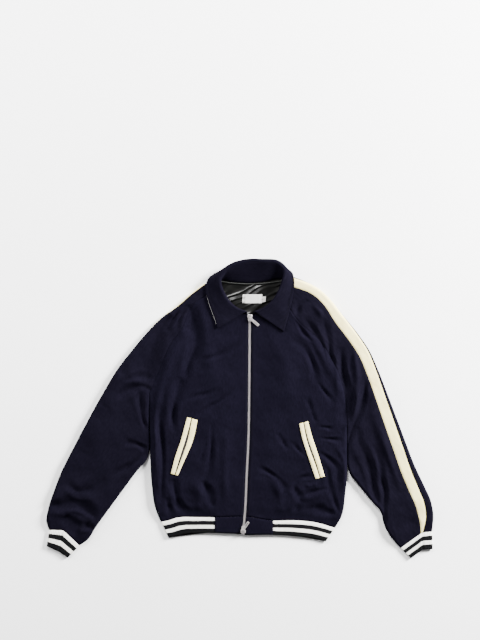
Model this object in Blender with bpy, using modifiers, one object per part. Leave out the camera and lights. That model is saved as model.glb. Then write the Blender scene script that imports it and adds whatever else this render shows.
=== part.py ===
"""A zip bomber jacket with raglan sleeves, laid flat on its back.

The jacket lies on the plane z = 0 with its neck towards +Y and the wearer's right side at -X.
Every cloth piece is an open surface over a grid of rows, thickened with Solidify.
"""
import math

import bmesh
import bpy
import numpy as np

MM = 0.001

# Cloth, in millimetres
WALL = 3.0
RIB_WALL = 2.2
RIB_ROLL = 4.6
RIB_EDGE = 3.4
SEAM = 0.3
EDGE_SEAM = 2.5
LIP = 0.3
PUFF = 9.8
RIB_TOP = 6.6
BAND_TOP = 8.4
EASE = 34.0
EDGE = 4.6
TOP_ROLL = 8.5
FLOOR_ROLL = 6.0
TOP_ARC = 11.0
FLOOR_ARC = 8.4
TUCK = 1.5
ARMPIT_ROOM = 1.8

# Collar
UPPER_WALL = 2.0
UNDER_WALL = 1.2
COLLAR_GAP = 0.3
COLLAR_FOLD = 4.4
COLLAR_ROWS = 24
COLLAR_REST = 2.3

# Neck
LINING_WALL = 0.9
PIPING_HEIGHT = 7.6
PIPING_RADIUS = 1.1
LABEL_TOP = 7.1
LABEL_WALL = 0.6
LABEL_EDGES = (6, 60, 290, 314)
SIZE_TAB_EDGES = (60.3, 70.3, 293, 308)

# Zip
ZIP_GAP = 6.6
TAPE_WALL = 1.2
TAPE_INNER = 1.4
TAPE_OUTER = 17.0
CHAIN_HALF = 3.9
CHAIN_WALL = 3.0

# Outline of the lying jacket
SIDE_RIGHT = [(-217, -312), (-233, -273), (-243, -210), (-247, -140), (-249, -50), (-250, 41)]
SIDE_LEFT = [(261, -328), (279, -297), (290, -234), (295, -174), (295, -100), (294, -35)]
RAGLAN_RIGHT = [(-250, 41), (-233, 81), (-215, 122), (-195, 172), (-163, 216), (-132, 282), (-75, 321)]
RAGLAN_LEFT = [(294, -35), (286, 46), (257, 127), (213, 193), (162, 238), (133, 282), (123, 310)]
NECK_SIDE_RIGHT = [(-75, 321), (-74, 334), (-64, 350)]
NECK_SIDE_LEFT = [(123, 310), (130, 334), (122, 355)]
OUTER_RIGHT = [(-96, 345), (-138, 313), (-173, 282), (-219, 247), (-250, 216), (-296, 162), (-335, 112),
               (-373, 50), (-418, -31), (-462, -115), (-493, -177), (-512, -227), (-529, -280),
               (-533, -312), (-525, -334)]
OUTER_LEFT = [(149, 362), (179, 350), (212, 333), (249, 300), (278, 263), (326, 204), (356, 160),
              (378, 112), (407, 38), (433, -31), (456, -92), (481, -157), (507, -212), (525, -252),
              (532.3, -290), (529, -338)]
INNER_RIGHT = [(-250, 41), (-252, -50), (-252, -120), (-257, -139), (-281, -169), (-316, -216), (-358, -273),
               (-397, -327), (-420, -362), (-442, -377)]
INNER_LEFT = [(294, -35), (296, -100), (297, -158), (302, -177), (322, -205), (363, -256), (388, -286),
              (395, -315), (411, -348), (442, -384)]
NECK_SAG = 7.0
NECK_ARC_LOW = (26, 346)
NECK_ARC_RISE = 9.0
NECK_ARC_HALF = 90.0
ZIP_LINE = [(27, 262), (26, 130), (25, 24), (23, -86), (18, -191), (14, -279), (8, -346)]
NECK_RIGHT = [(20, 257), (-13, 264), (-45, 281), (-67, 302), (-75, 321)]
NECK_LEFT = [(34, 257), (53, 259), (79, 268), (105, 285), (123, 310)]
HEM_SEAM_RIGHT = [(-217, -312), (-197, -308), (-175, -301), (-121, -299), (-70, -299), (4, -297)]
HEM_SEAM_LEFT = [(261, -328), (205, -313), (155, -308), (91, -308), (20, -297)]

# Share of each sleeve's outer edge that faces the raglan seam
SHOULDER_RIGHT = 0.44
SHOULDER_LEFT = 0.55
RAGLAN_ROWS = 8
NECK_SIDE_ROWS = 3
SIDE_ROWS = 10
SLEEVE_ROWS = 10

# Stripe seams across each sleeve: share of the outer edge, then the front and back seam as
# lengths over the cloth from the sleeve's widest line, positive on top and negative beneath
STRIPE_LEFT = [(0.00, 31, -5), (0.06, 26, -5), (0.14, 25, -4), (0.22, 31, 0), (0.36, 36, 1),
               (0.48, 38, 6), (0.60, 39, 9), (0.74, 40, 10), (0.84, 44, 18), (0.93, 46, 26),
               (0.96, 42, 27), (1.00, 30, 27)]
STRIPE_RIGHT = [(0.00, 5, -14), (0.04, 4, -14), (0.08, 5, -16), (0.12, 4, -20), (0.17, 1, -26),
                (0.25, -4, -36), (0.34, -9, -42), (0.90, -9, -40), (1.00, -9, -34)]

# Largest folds: lift, half width, then the points of the fold's line
FOLDS = [
    (-2.2, 17, [(-129, 278), (-110, 205), (-133, 141), (-171, 60), (-181, -1), (-177, -60)]),
    (3.2, 18, [(-152, 262), (-136, 196), (-160, 130), (-196, 60), (-206, 0)]),
    (2.6, 30, [(-70, 190), (-100, 110), (-140, 20), (-150, -90)]),
    (3.6, 20, [(-232, 176), (-262, 108), (-300, 26), (-316, -40)]),
    (-2.0, 13, [(-300, 58), (-276, 70), (-250, 84), (-232, 92)]),
    (3.0, 22, [(-330, 60), (-372, -20), (-404, -110)]),
    (-2.0, 13, [(-336, -94), (-300, -98), (-256, -108)]),
    (-2.2, 15, [(-488, -204), (-423, -222), (-376, -200)]),
    (3.4, 14, [(-492, -250), (-430, -248), (-372, -262)]),
    (-2.2, 12, [(-498, -276), (-464, -256), (-423, -270), (-386, -302)]),
    (3.2, 13, [(-490, -292), (-452, -292), (-405, -312)]),
    (-1.8, 14, [(-210, -80), (-209, -180), (-214, -250)]),
    (-1.8, 15, [(-73, -50), (-80, -150), (-73, -228), (-82, -270)]),
    (2.4, 22, [(-110, -40), (-112, -150), (-120, -250)]),
    (-2.0, 15, [(147, 214), (182, 162), (217, 106), (240, 46), (262, 16)]),
    (3.0, 20, [(176, 214), (214, 160), (240, 100), (266, 50)]),
    (-2.2, 13, [(242, 214), (254, 180), (262, 130)]),
    (-2.8, 16, [(290, 140), (310, 96), (306, 30), (299, -30)]),
    (3.8, 18, [(282, 196), (330, 110), (336, 40)]),
    (-2.0, 13, [(342, 66), (333, 10), (316, -34), (304, -92)]),
    (3.2, 18, [(352, 10), (346, -60), (340, -120)]),
    (-2.0, 14, [(326, -56), (334, -116), (358, -160), (376, -240)]),
    (2.8, 18, [(380, -60), (402, -140), (440, -240)]),
    (-1.8, 14, [(66, -164), (98, -180), (126, -212)]),
    (-1.8, 14, [(149, -208), (166, -240), (157, -290)]),
    (2.6, 22, [(110, -40), (118, -130), (112, -250)]),
    (-1.8, 14, [(230, -126), (262, -150), (271, -190)]),
    (2.6, 18, [(250, -60), (272, -120), (262, -250)]),
]

# Collar rows: the neck seam, the roll and the fall's edge, each as x, y and height
COLLAR = [
    ((19, 259, 8.0), (17, 266, 15), (-62, 221, 12)),
    ((-12, 267, 8.0), (-10, 277, 17), (-66, 236, 12)),
    ((-42, 284, 8.0), (-30, 295, 19), (-76, 264, 12)),
    ((-63, 305, 8.0), (-43, 316, 21), (-87, 296, 12)),
    ((-71, 326, 7.6), (-52, 338, 24), (-94, 328, 12)),
    ((-67, 344, 6.4), (-54, 358, 26), (-91, 350, 9)),
    ((-53, 353, 5.6), (-44, 378, 27), (-77, 366, 4)),
    ((-25, 350, 5.4), (-22, 396, 27), (-48, 374, 2.7)),
    ((19, 347, 5.4), (14, 408, 26), (-2, 372, 2.7)),
    ((66, 351, 5.4), (62, 409, 26), (62, 370, 2.7)),
    ((108, 358, 5.6), (106, 403, 27), (118, 374, 2.7)),
    ((125, 355, 6.4), (122, 385, 27), (140, 376, 5)),
    ((126, 335, 7.6), (118, 355, 26), (149, 352, 12)),
    ((117, 310, 8.0), (108, 327, 24), (148, 330, 12)),
    ((99, 289, 8.0), (94, 302, 22), (143, 298, 12)),
    ((76, 272, 8.0), (75, 283, 19), (135, 262, 12)),
    ((52, 263, 8.0), (57, 272, 17), (127, 234, 12)),
    ((35, 259, 8.0), (41, 266, 15), (121, 212, 12)),
]

# Pocket welts: rows from the upper end to the lower end, with the x of each long edge
POCKET_RIGHT = [(-27, -145, -133, -117), (-60, -154, -140, -123), (-95, -163, -149, -133),
                (-135, -178, -163, -151), (-182, -190, -179, -171)]
POCKET_LEFT = [(-38, 163, 175, 187), (-75, 170, 182, 196), (-110, 181, 193, 208),
               (-150, 195, 208, 221), (-190, 208, 220, 233)]
WELT_WALL = 1.6
WELT_CROWN = (0.0, 0.6, 0.3)
WELT_END_DROP = 8.0

# Cuffs: outer end, crease and inner end of the top and bottom lines
CUFF_RIGHT = [((-525, -334), (-487, -335), (-442, -377)), ((-532.4, -379), (-497, -395), (-474, -411))]
CUFF_LEFT = [((529, -338), (502, -341), (442, -384)), ((530, -387), (502, -389), (471, -412))]
BAND_END_RIGHT = -70
BAND_END_LEFT = 91
HEM_EDGE_RIGHT = [(-196, -356), (-175, -351), (-153, -345), (-121, -343), (-70, -343), (4, -346)]
HEM_EDGE_LEFT = [(236, -366), (205, -358), (155, -352), (91, -348), (20, -349)]

# Metal parts
SLIDER_LENGTH = 21.0
SLIDER_WALL = 2.6
CROWN_REACH = 3.0
CROWN_WIDTH = 1.6
CROWN_RISE = 3.8
PIN_HEIGHT = 1.7
PIN_RADIUS = 0.6
FORK_INNER = 3.1
TAB_WIDTH = 8.4
TAB_LEAN = 4.5
TAB_WALL = 1.5
TOP_TAB_LENGTH = 32.0
TOP_TAB_TURN = -41.0
BOTTOM_TAB_LENGTH = 26.0
BOTTOM_TAB_TURN = 55.0

MATERIALS = {
    "melton_front": ((0.0103, 0.0123, 0.0232), 0.92, 0.0),
    "melton_sleeve": ((0.0070, 0.0066, 0.0130), 0.92, 0.0),
    "cream_felt": ((0.807, 0.776, 0.591), 0.85, 0.0),
    "rib_knit": ((0.60, 0.60, 0.57), 0.9, 0.0),
    "satin_lining": ((0.006, 0.006, 0.005), 0.35, 0.0),
    "piping": ((0.20, 0.20, 0.19), 0.5, 0.0),
    "label_white": ((0.86, 0.86, 0.85), 0.6, 0.0),
    "zip_tape": ((0.02, 0.02, 0.04), 0.8, 0.0),
    "zip_metal": ((0.60, 0.56, 0.54), 0.3, 1.0),
}


# ---------------------------------------------------------------- lines and folds

def curve(points, steps=14):
    """A smooth line through a few points, as a dense polyline (cubic spans with chord-length tangents)."""
    p = np.array(points, float)
    chord = np.linalg.norm(np.diff(p, axis=0), axis=1)[:, None]
    slope = np.diff(p, axis=0) / chord
    inner = (slope[:-1] * chord[1:] + slope[1:] * chord[:-1]) / (chord[:-1] + chord[1:])
    tangent = np.vstack([slope[:1], inner, slope[-1:]])
    t = np.linspace(0, 1, steps, endpoint=False)[:, None]
    spans = [
        (2 * t**3 - 3 * t**2 + 1) * a + (t**3 - 2 * t**2 + t) * h * m
        + (3 * t**2 - 2 * t**3) * b + (t**3 - t**2) * h * n
        for a, b, h, m, n in zip(p[:-1], p[1:], chord, tangent[:-1], tangent[1:])
    ]
    return np.vstack(spans + [p[-1:]])


def along(line, shares):
    """Points at the given shares of a line's length."""
    steps = np.r_[0, np.cumsum(np.linalg.norm(np.diff(line, axis=0), axis=1))]
    at = np.asarray(shares, float) * steps[-1]
    return np.stack([np.interp(at, steps, line[:, k]) for k in range(line.shape[1])], axis=1)


def reach(x, y, line):
    """Distance from each place to a line of straight spans, and the share of its length nearest to it."""
    line = np.array(line, float)
    lengths = np.linalg.norm(np.diff(line, axis=0), axis=1)
    best = np.full(np.shape(x), 1e9)
    where = np.zeros(np.shape(x))
    start = 0.0
    for a, b, length in zip(line[:-1], line[1:], lengths):
        dx, dy = b - a
        s = np.clip(((x - a[0]) * dx + (y - a[1]) * dy) / length**2, 0, 1)
        away = np.hypot(x - a[0] - s * dx, y - a[1] - s * dy)
        closer = away < best
        best = np.where(closer, away, best)
        where = np.where(closer, (start + s * length) / lengths.sum(), where)
        start += length
    return best, where


def smooth_step(x):
    x = np.clip(x, 0, 1)
    return x * x * (3 - 2 * x)


def height(x, y):
    """Height of the jacket's upper face: level cloth, low beside the ribs, with its largest folds."""
    ribs = [HEM_SEAM_RIGHT, HEM_SEAM_LEFT, CUFF_RIGHT[0], CUFF_LEFT[0]]
    off = np.min([reach(x, y, line)[0] for line in ribs], axis=0)
    hem = np.array(HEM_SEAM_RIGHT + HEM_SEAM_LEFT[::-1], float)
    beyond = (y < np.interp(x, hem[:, 0], hem[:, 1])) & (x > hem[0, 0]) & (x < hem[-1, 0])
    off = np.where(beyond, 0, off)
    low = RIB_TOP + (BAND_TOP - RIB_TOP) * smooth_step((105 - np.abs(x - 11)) / 30)
    z = low + (PUFF - low) * smooth_step(off / EASE)
    ease = smooth_step(off / EASE) * smooth_step((np.abs(x - zip_x(y)) - 10) / 30)
    for lift, width, points in FOLDS:
        away, share = reach(x, y, points)
        z = z + ease * lift * np.exp(-((away / width) ** 2)) * np.sin(math.pi * share) ** 0.6
    return z


def zip_x(y):
    line = np.array(ZIP_LINE[::-1], float)
    return np.interp(y, line[:, 1], line[:, 0])


# ---------------------------------------------------------------- rows across a piece

def roll(g, span=TOP_ROLL):
    """Section of a folded edge at a length g over the cloth from its widest line.

    Gives the distance inwards, the share of the height above the widest line, and the share of the
    height below it: a quarter ellipse on top, then level; a tighter quarter beneath, then flat."""
    a = np.clip(g / TOP_ARC, 0, 1) * math.pi / 2
    b = np.clip(-g / FLOOR_ARC, 0, 1) * math.pi / 2
    inwards = span * (1 - np.cos(a)) + np.maximum(g - TOP_ARC, 0)
    inwards = inwards + FLOOR_ROLL * (1 - np.cos(b)) + np.maximum(-g - FLOOR_ARC, 0)
    return inwards, np.sin(a), np.sin(b)


def edge_points(a, b, g, crease, bend=None):
    """Places across each row a-b at lengths g from the folded edge a; crease 0 is a seam, 1 a full fold."""
    width = np.linalg.norm(b - a, axis=1)[:, None]
    span = np.minimum(TOP_ROLL, 0.4 * width)
    inwards, up, down = roll(g, span)
    level = SEAM + (span - SEAM) * g / TOP_ARC
    inwards = np.where(crease > 0, crease * inwards + (1 - crease) * level, level) + SEAM / 2 * crease
    flat = placed(a, b, inwards / width, bend)
    top = height(flat[..., 0], flat[..., 1])
    z = np.where(g >= 0, EDGE + (top - EDGE) * up, EDGE * (1 - down))
    z = top - crease * (top - z)
    return np.dstack([flat, z])


def placed(a, b, share, bend=None):
    """Places at the given shares of each row a-b, moved by the row's bend, a function of the share."""
    flat = a[:, None] + (b - a)[:, None] * share[..., None]
    if bend is not None:
        flat = flat + bend(share)
    return flat


def tent(share, peak):
    """A bend that is full at its peak and nothing at both ends, with a corner at the peak."""
    return np.clip(np.where(share < peak, share / peak, (1 - share) / (1 - peak)), 0, 1)


def crease_share(outer_end, crease, inner_end):
    """Where a bent line's corner lies, as a share of its length."""
    first = math.dist(outer_end, crease)
    return first / (first + math.dist(crease, inner_end))


def fold_lengths(crease):
    """Lengths over the cloth for each row's folded edge: tucked beneath where it is a full fold."""
    third = TOP_ARC / 3
    folded = np.array([-FLOOR_ARC - TUCK, -FLOOR_ARC, -FLOOR_ARC / 2, 0, third, 2 * third, TOP_ARC])
    sewn = np.linspace(0, TOP_ARC, 7)
    return np.where(crease[:, None] >= 1, folded, sewn)


def between(high, low, stops, lip=LIP):
    """Falling lengths from high to low through the stops that lie between, with a narrow lip at both ends."""
    columns = [high - lip]
    left = len(stops) + 1
    for k, stop in enumerate(stops):
        step = (high - low - 2 * lip) / left * 0.25
        columns.append(np.clip(stop, low + lip + step * (left - 1 - k), columns[-1] - step))
    return np.stack([high] + columns + [low + lip, low], axis=1)


def flat_points(a, b, first, last, columns, bend=None):
    """Level places across each row, from first mm inside a to last mm inside b."""
    width = np.linalg.norm(b - a, axis=1)
    t = np.linspace(0, 1, columns)[None]
    start = np.broadcast_to(first / width, width.shape)[:, None]
    end = np.broadcast_to(1 - last / width, width.shape)[:, None]
    share = start + (end - start) * t
    return np.dstack([placed(a, b, share, bend), np.zeros(share.shape)])


# ---------------------------------------------------------------- objects

def material(name):
    made = bpy.data.materials.get(name)
    if made:
        return made
    colour, roughness, metallic = MATERIALS[name]
    made = bpy.data.materials.new(name)
    made.use_nodes = True
    shader = made.node_tree.nodes["Principled BSDF"]
    shader.inputs["Base Color"].default_value = (*colour, 1)
    shader.inputs["Roughness"].default_value = roughness
    shader.inputs["Metallic"].default_value = metallic
    made.diffuse_color = (*colour, 1)
    return made


def add_object(name, mesh, finish):
    made = bpy.data.objects.new(name, mesh)
    if mesh.materials:
        mesh.materials[0] = material(finish)
    else:
        mesh.materials.append(material(finish))
    jacket.objects.link(made)
    return made


def sheet(name, grid, wall, finish, outwards=False, ring=False, up=True):
    """A cloth piece: an open surface through a grid of points, thickened inwards from its outer face."""
    rows, columns = grid.shape[:2]
    index = np.arange(rows * columns).reshape(rows, columns)
    if ring:
        index = np.hstack([index, index[:, :1]])
    quads = np.stack([index[:-1, :-1], index[:-1, 1:], index[1:, 1:], index[1:, :-1]], axis=-1)
    quads = quads.reshape(-1, 4)
    mesh = bpy.data.meshes.new(name)
    mesh.from_pydata((grid.reshape(-1, 3) * MM).tolist(), [], quads.tolist())
    middle = (grid[..., 2].max() + grid[..., 2].min()) / 2 * MM
    judged = [face for face in mesh.polygons if (face.center.z >= middle - 1e-6) == up] or mesh.polygons
    lean = sum(face.normal.z * face.area for face in judged)
    if (lean > 0) != up:
        mesh.flip_normals()
    mesh.shade_smooth()
    made = add_object(name, mesh, finish)
    thick = made.modifiers.new("thickness", "SOLIDIFY")
    thick.thickness = wall * MM
    thick.offset = 1.0 if outwards else -1.0
    return made


def normals_of(grid):
    """Unit normals of a grid: at each point the mean of the faces round it."""
    face = np.cross(grid[1:, 1:] - grid[:-1, :-1], grid[:-1, 1:] - grid[1:, :-1])
    face /= np.linalg.norm(face, axis=-1, keepdims=True)
    face = np.pad(face, ((1, 1), (1, 1), (0, 0)), mode="edge")
    normal = face[1:, 1:] + face[:-1, 1:] + face[1:, :-1] + face[:-1, :-1]
    return normal / np.linalg.norm(normal, axis=-1, keepdims=True)


def mesh_box(name, size, centre, bevel=0.0):
    """A box mesh with softened edges, in the object's own millimetres."""
    shape = bmesh.new()
    bmesh.ops.create_cube(shape, size=1.0)
    bmesh.ops.scale(shape, vec=[s * MM for s in size], verts=shape.verts)
    bmesh.ops.translate(shape, vec=[c * MM for c in centre], verts=shape.verts)
    if bevel:
        bmesh.ops.bevel(shape, geom=shape.edges, offset=bevel * MM, segments=1, affect="EDGES")
    mesh = bpy.data.meshes.new(name)
    shape.to_mesh(mesh)
    shape.free()
    return mesh


def union(made, cutters, operation="UNION"):
    for k, cutter in enumerate(cutters):
        step = made.modifiers.new(f"{operation.lower()}_{k}", "BOOLEAN")
        step.operation = operation
        step.solver = "EXACT"
        step.object = cutter


def helper(name, mesh, location, turn=0.0, lean=0.0):
    """A solid that only shapes another one."""
    made = bpy.data.objects.new(name, mesh)
    made.location = [v * MM for v in location]
    made.rotation_euler = (0, math.radians(lean), math.radians(turn))
    made.hide_render = True
    made.display_type = "WIRE"
    cutters.objects.link(made)
    return made


# ---------------------------------------------------------------- body

def hem_bend(rows, left, right, seams):
    """The bend that lays the lowest row on the hem's seam and fades over the rows above it."""
    seam = np.vstack([curve(line) for line in seams])
    seam = seam[np.argsort(seam[:, 0])]
    fade = np.clip(1 - np.arange(rows) / 4, 0, 1)[:, None]

    def bend(share):
        x = left[0, 0] + (right[0, 0] - left[0, 0]) * share
        chord = left[0, 1] + (right[0, 1] - left[0, 1]) * share
        rise = (np.interp(x, seam[:, 0], seam[:, 1]) + 0.3 - chord) * fade
        return np.stack([0 * rise, rise], axis=-1)

    return bend


def front(name, side, raglan, zip_edge, neck, seam, inset):
    """A front: from the side seam beneath its folded side and the raglan seam to the zip and neck."""
    rows = SIDE_ROWS + RAGLAN_ROWS - 1
    neck_rows = 4
    left = np.vstack([along(curve(side), np.linspace(0.006, 1, SIDE_ROWS)),
                      along(curve(raglan), np.linspace(0, 1, RAGLAN_ROWS))[1:]])
    level = np.interp(np.arange(rows - neck_rows), [0, SIDE_ROWS - 1, rows - neck_rows - 1], [0.004, 0.58, 1])
    right = np.vstack([along(zip_edge, level), along(curve(neck), np.linspace(0, 0.94, neck_rows + 1))[1:]])
    crease = np.clip((SIDE_ROWS - 1 - np.arange(rows)) / 2, 0, 1)
    bend = hem_bend(rows, left, right, [seam])
    folded = edge_points(left, right, fold_lengths(crease), crease[:, None], bend)
    width = np.linalg.norm(right - left, axis=1)[:, None]
    first = np.minimum(TOP_ROLL, 0.4 * width)
    level = np.linspace(0, 1, 8)[None, 1:]
    flat = placed(left, right, (first + (width - inset - first) * level) / width, bend)
    top = height(flat[..., 0], flat[..., 1])
    return sheet(name, np.hstack([folded, np.dstack([flat, top])]), WALL, "melton_front")


def zip_side(offset):
    line = curve(ZIP_LINE[::-1])
    seam = (HEM_SEAM_RIGHT if offset < 0 else HEM_SEAM_LEFT)[-1][1]
    line = line[(line[:, 1] > seam) & (line[:, 1] < ZIP_LINE[0][1] - 3)]
    return line + [offset, 0]


def make_body():
    front("front_right", SIDE_RIGHT, RAGLAN_RIGHT, zip_side(-ZIP_GAP), NECK_RIGHT, HEM_SEAM_RIGHT, SEAM / 2)
    front("front_left", SIDE_LEFT, RAGLAN_LEFT, zip_side(ZIP_GAP), NECK_LEFT, HEM_SEAM_LEFT, SEAM / 2)
    rows = SIDE_ROWS + RAGLAN_ROWS + NECK_SIDE_ROWS - 2
    ends = []
    for side, raglan, neck_side in (
        (SIDE_RIGHT, RAGLAN_RIGHT, NECK_SIDE_RIGHT),
        (SIDE_LEFT, RAGLAN_LEFT, NECK_SIDE_LEFT),
    ):
        ends.append(np.vstack([along(curve(side), np.linspace(0.006, 1, SIDE_ROWS)),
                               along(curve(raglan), np.linspace(0, 1, RAGLAN_ROWS))[1:],
                               along(curve(neck_side), np.linspace(0, 1, NECK_SIDE_ROWS))[1:]]))
    folded = np.arange(rows) < SIDE_ROWS - 1
    inset = np.where(folded, FLOOR_ROLL + TUCK + SEAM * 1.5, SEAM)
    inset[SIDE_ROWS - 4:SIDE_ROWS - 1] += ARMPIT_ROOM
    hem = hem_bend(rows, ends[0], ends[1], [HEM_SEAM_RIGHT, HEM_SEAM_LEFT])
    sag = np.clip(np.arange(rows) - rows + 3, 0, 2)[:, None] * NECK_SAG / 2

    def bend(share):
        return hem(share) - np.stack([0 * share, sag * np.sin(math.pi * share)], axis=-1)

    grid = flat_points(ends[0], ends[1], inset, inset, 5, bend)
    sheet("back", grid, WALL, "melton_front", up=False)


# ---------------------------------------------------------------- sleeves

def sleeve(side, outer, inner, raglan, shoulder, stripe, cuff):
    """A raglan sleeve in three pieces: a front, an inset stripe, and a back that lies beneath."""
    rows = RAGLAN_ROWS + SLEEVE_ROWS - 1
    outer_share = np.r_[np.linspace(0, shoulder, RAGLAN_ROWS), np.linspace(shoulder, 1, SLEEVE_ROWS)[1:]]
    out = along(curve(outer), outer_share)
    lower = along(curve(inner), np.linspace(0, 1, SLEEVE_ROWS))[1:]
    inn = np.vstack([along(curve(raglan), np.linspace(1, 0, RAGLAN_ROWS)), lower])
    crease = np.clip((np.arange(rows) - RAGLAN_ROWS + 1) / 2, 0, 1)
    table = np.array(stripe, float)
    front_seam = np.interp(outer_share, table[:, 0], table[:, 1])
    back_seam = np.interp(outer_share, table[:, 0], table[:, 2])
    fade = np.clip((np.arange(rows) - rows + 5) / 4, 0, 1)[:, None] ** 2
    half = EDGE_SEAM / 2

    crease_point = np.array(cuff[0][1], float)
    peak = crease_share(*cuff[0])
    away = crease_point - (out[-1] + (inn[-1] - out[-1]) * peak)

    def bend(share):
        return (fade * tent(share, peak))[..., None] * away

    stripe_beneath = front_seam.max() < TOP_ARC
    width = np.linalg.norm(inn - out, axis=1)
    span = np.minimum(TOP_ROLL, 0.4 * width)
    seam_far = np.maximum(front_seam, TOP_ARC)
    ridge = TOP_ARC + width / 2 - span
    if stripe_beneath:
        outer_columns = between(np.full(rows, TOP_ARC), front_seam + half, [TOP_ARC * 0.5, 0.0])[:, ::-1]
    else:
        outer_columns = np.stack([seam_far + half, np.maximum(ridge - 1, seam_far + 2)], axis=1)
    folded_in = edge_points(inn, out, fold_lengths(crease), crease[:, None], lambda share: bend(1 - share))
    folded_out = edge_points(out, inn, outer_columns, 1.0, bend)
    first = roll(outer_columns[:, -1], span)[0]
    room = width - span - first
    share = (first[:, None] + room[:, None] * np.linspace(0, 1, 6)[None, 1:-1]) / width[:, None]
    flat = placed(out, inn, share, bend)
    top = height(flat[..., 0], flat[..., 1])
    grid = np.hstack([folded_out, np.dstack([flat, top]), folded_in[:, ::-1]])
    sheet(f"sleeve_{side}_front", grid, WALL, "melton_sleeve")

    stops = [0.0, -FLOOR_ARC] if stripe_beneath else [TOP_ARC, 0.0]
    columns = between(front_seam - half, back_seam + half, stops)
    grid = edge_points(out, inn, columns, 1.0, bend)
    sheet(f"sleeve_{side}_stripe", grid, WALL, "cream_felt", up=not stripe_beneath)

    last = np.minimum(back_seam - 3, -FLOOR_ARC - 2)
    columns = between(back_seam - half, last, [] if stripe_beneath else [0.0, -FLOOR_ARC * 0.5])
    folded = edge_points(out, inn, columns, 1.0, bend)
    first = roll(columns[:, -1])[0] + half
    inset = np.where(crease > 0, FLOOR_ROLL + TUCK + SEAM * 1.5, SEAM)
    inset[RAGLAN_ROWS:RAGLAN_ROWS + 3] += ARMPIT_ROOM
    flat = flat_points(out, inn, first, inset, 4, bend)[:, 1:]
    sheet(f"sleeve_{side}_back", np.hstack([folded, flat]), WALL, "melton_sleeve", up=False)


# ---------------------------------------------------------------- ribs

def tube(name, ends, top, finish, columns=5):
    """A cuff: a knitted tube lying flat, bent at its crease."""
    upper, lower = (np.array(line, float) for line in ends)
    t = np.linspace(0.018, 1, 4)[:, None]
    out = upper[0] + (lower[0] - upper[0]) * t
    inn = upper[2] + (lower[2] - upper[2]) * t
    crease = upper[1] + (lower[1] - upper[1]) * t
    peak = crease_share(*upper)
    away = crease - (out + (inn - out) * peak)

    def bend(share):
        return away[:, None] * tent(share, peak)[..., None]

    width = np.linalg.norm(inn - out, axis=1)
    g = np.array([0.0, 0.35, 0.7, 1.0])
    inwards = RIB_ROLL * (1 - np.cos(g * math.pi / 2))
    beneath = np.array([0.5, 1.0])
    floor = RIB_ROLL * (1 - np.cos(beneath * math.pi / 2))
    room = width[:, None] - 2 * RIB_ROLL
    distance = np.hstack([inwards[None] + 0 * width[:, None],
                          RIB_ROLL + room * np.linspace(0, 1, columns)[None, 1:-1],
                          width[:, None] - inwards[None, ::-1],
                          width[:, None] - floor[None],
                          width[:, None] - RIB_ROLL - room * np.linspace(0, 1, 4)[None, 1:-1],
                          floor[None, ::-1] + 0 * width[:, None]])
    rise = RIB_EDGE + (top - RIB_EDGE) * np.sin(g * math.pi / 2)
    fall = RIB_EDGE * (1 - np.sin(beneath * math.pi / 2))
    z = np.r_[rise, np.full(columns - 2, top), rise[::-1], fall, 0, 0, fall[::-1]]
    share = distance / width[:, None]
    grid = np.dstack([placed(out, inn, share, bend), np.broadcast_to(z, share.shape)])
    return sheet(name, grid, RIB_WALL, finish, ring=True)


def hem_arm(seam, edge, end):
    """Half of the hem rib's top: from the floor round its side to the band, as a grid of three rows."""
    upper, lower = curve(seam), curve(edge)
    t = np.linspace(0.02, 1, 3)[:, None, None]
    span = abs(end - seam[0][0])
    sign = 1 if end > seam[0][0] else -1
    g = np.array([-1.0, -0.5, 0.0, 0.35, 0.7, 1.0]) * math.pi / 2
    inwards = RIB_ROLL * (1 - np.cos(g))
    distance = np.r_[inwards, RIB_ROLL + (span - RIB_ROLL - SEAM / 2) * np.linspace(0, 1, 6)[1:]]
    z = np.where(g < 0, RIB_EDGE * (1 - np.sin(-g)), RIB_EDGE + (RIB_TOP - RIB_EDGE) * np.sin(g))
    z = np.r_[z, np.full(5, RIB_TOP)]
    lines = []
    for line, start in ((upper, seam[0]), (lower, edge[0])):
        x = start[0] + sign * distance * (abs(end - start[0]) - SEAM / 2) / (span - SEAM / 2)
        order = np.argsort(line[:, 0])
        lines.append(np.stack([x, np.interp(x, line[order, 0], line[order, 1])], axis=1))
    flat = lines[0][None] + (lines[1] - lines[0])[None] * t
    return np.dstack([flat, np.broadcast_to(z, flat.shape[:2])])


def make_ribs():
    tube("cuff_right", CUFF_RIGHT, RIB_TOP, "rib_knit")
    tube("cuff_left", CUFF_LEFT, RIB_TOP, "rib_knit")
    right = hem_arm(HEM_SEAM_RIGHT, HEM_EDGE_RIGHT, BAND_END_RIGHT)
    left = hem_arm(HEM_SEAM_LEFT, HEM_EDGE_LEFT, BAND_END_LEFT)
    t = np.linspace(0, 1, 7)[None, 1:-1, None]
    a, b = right[:, :1], left[:, :1]
    beneath = a + (b - a) * t
    beneath[..., 1] += 21 * np.sin(math.pi * t[..., 0])
    grid = np.hstack([right[:, ::-1], beneath, left])
    sheet("hem_rib", grid, RIB_WALL, "rib_knit")
    for name, seam, edge, end, offset in (
        ("hem_band_right", HEM_SEAM_RIGHT, HEM_EDGE_RIGHT, BAND_END_RIGHT, -ZIP_GAP),
        ("hem_band_left", HEM_SEAM_LEFT, HEM_EDGE_LEFT, BAND_END_LEFT, ZIP_GAP),
    ):
        share = np.linspace(0, 1, 5)
        rows = []
        for t in np.linspace(0.02, 1, 3):
            y = np.interp(share, [0, 1], [seam[-2][1], seam[-1][1]])
            low = np.interp(share, [0, 1], [edge[-2][1], edge[-1][1]])
            y = y + (low - y) * t
            first = end - math.copysign(SEAM / 2, offset)
            x = first + (zip_x(y) + offset - first) * share
            rows.append(np.stack([x, y, 0 * x + BAND_TOP], axis=1))
        sheet(name, np.array(rows), WALL, "melton_front")


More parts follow.
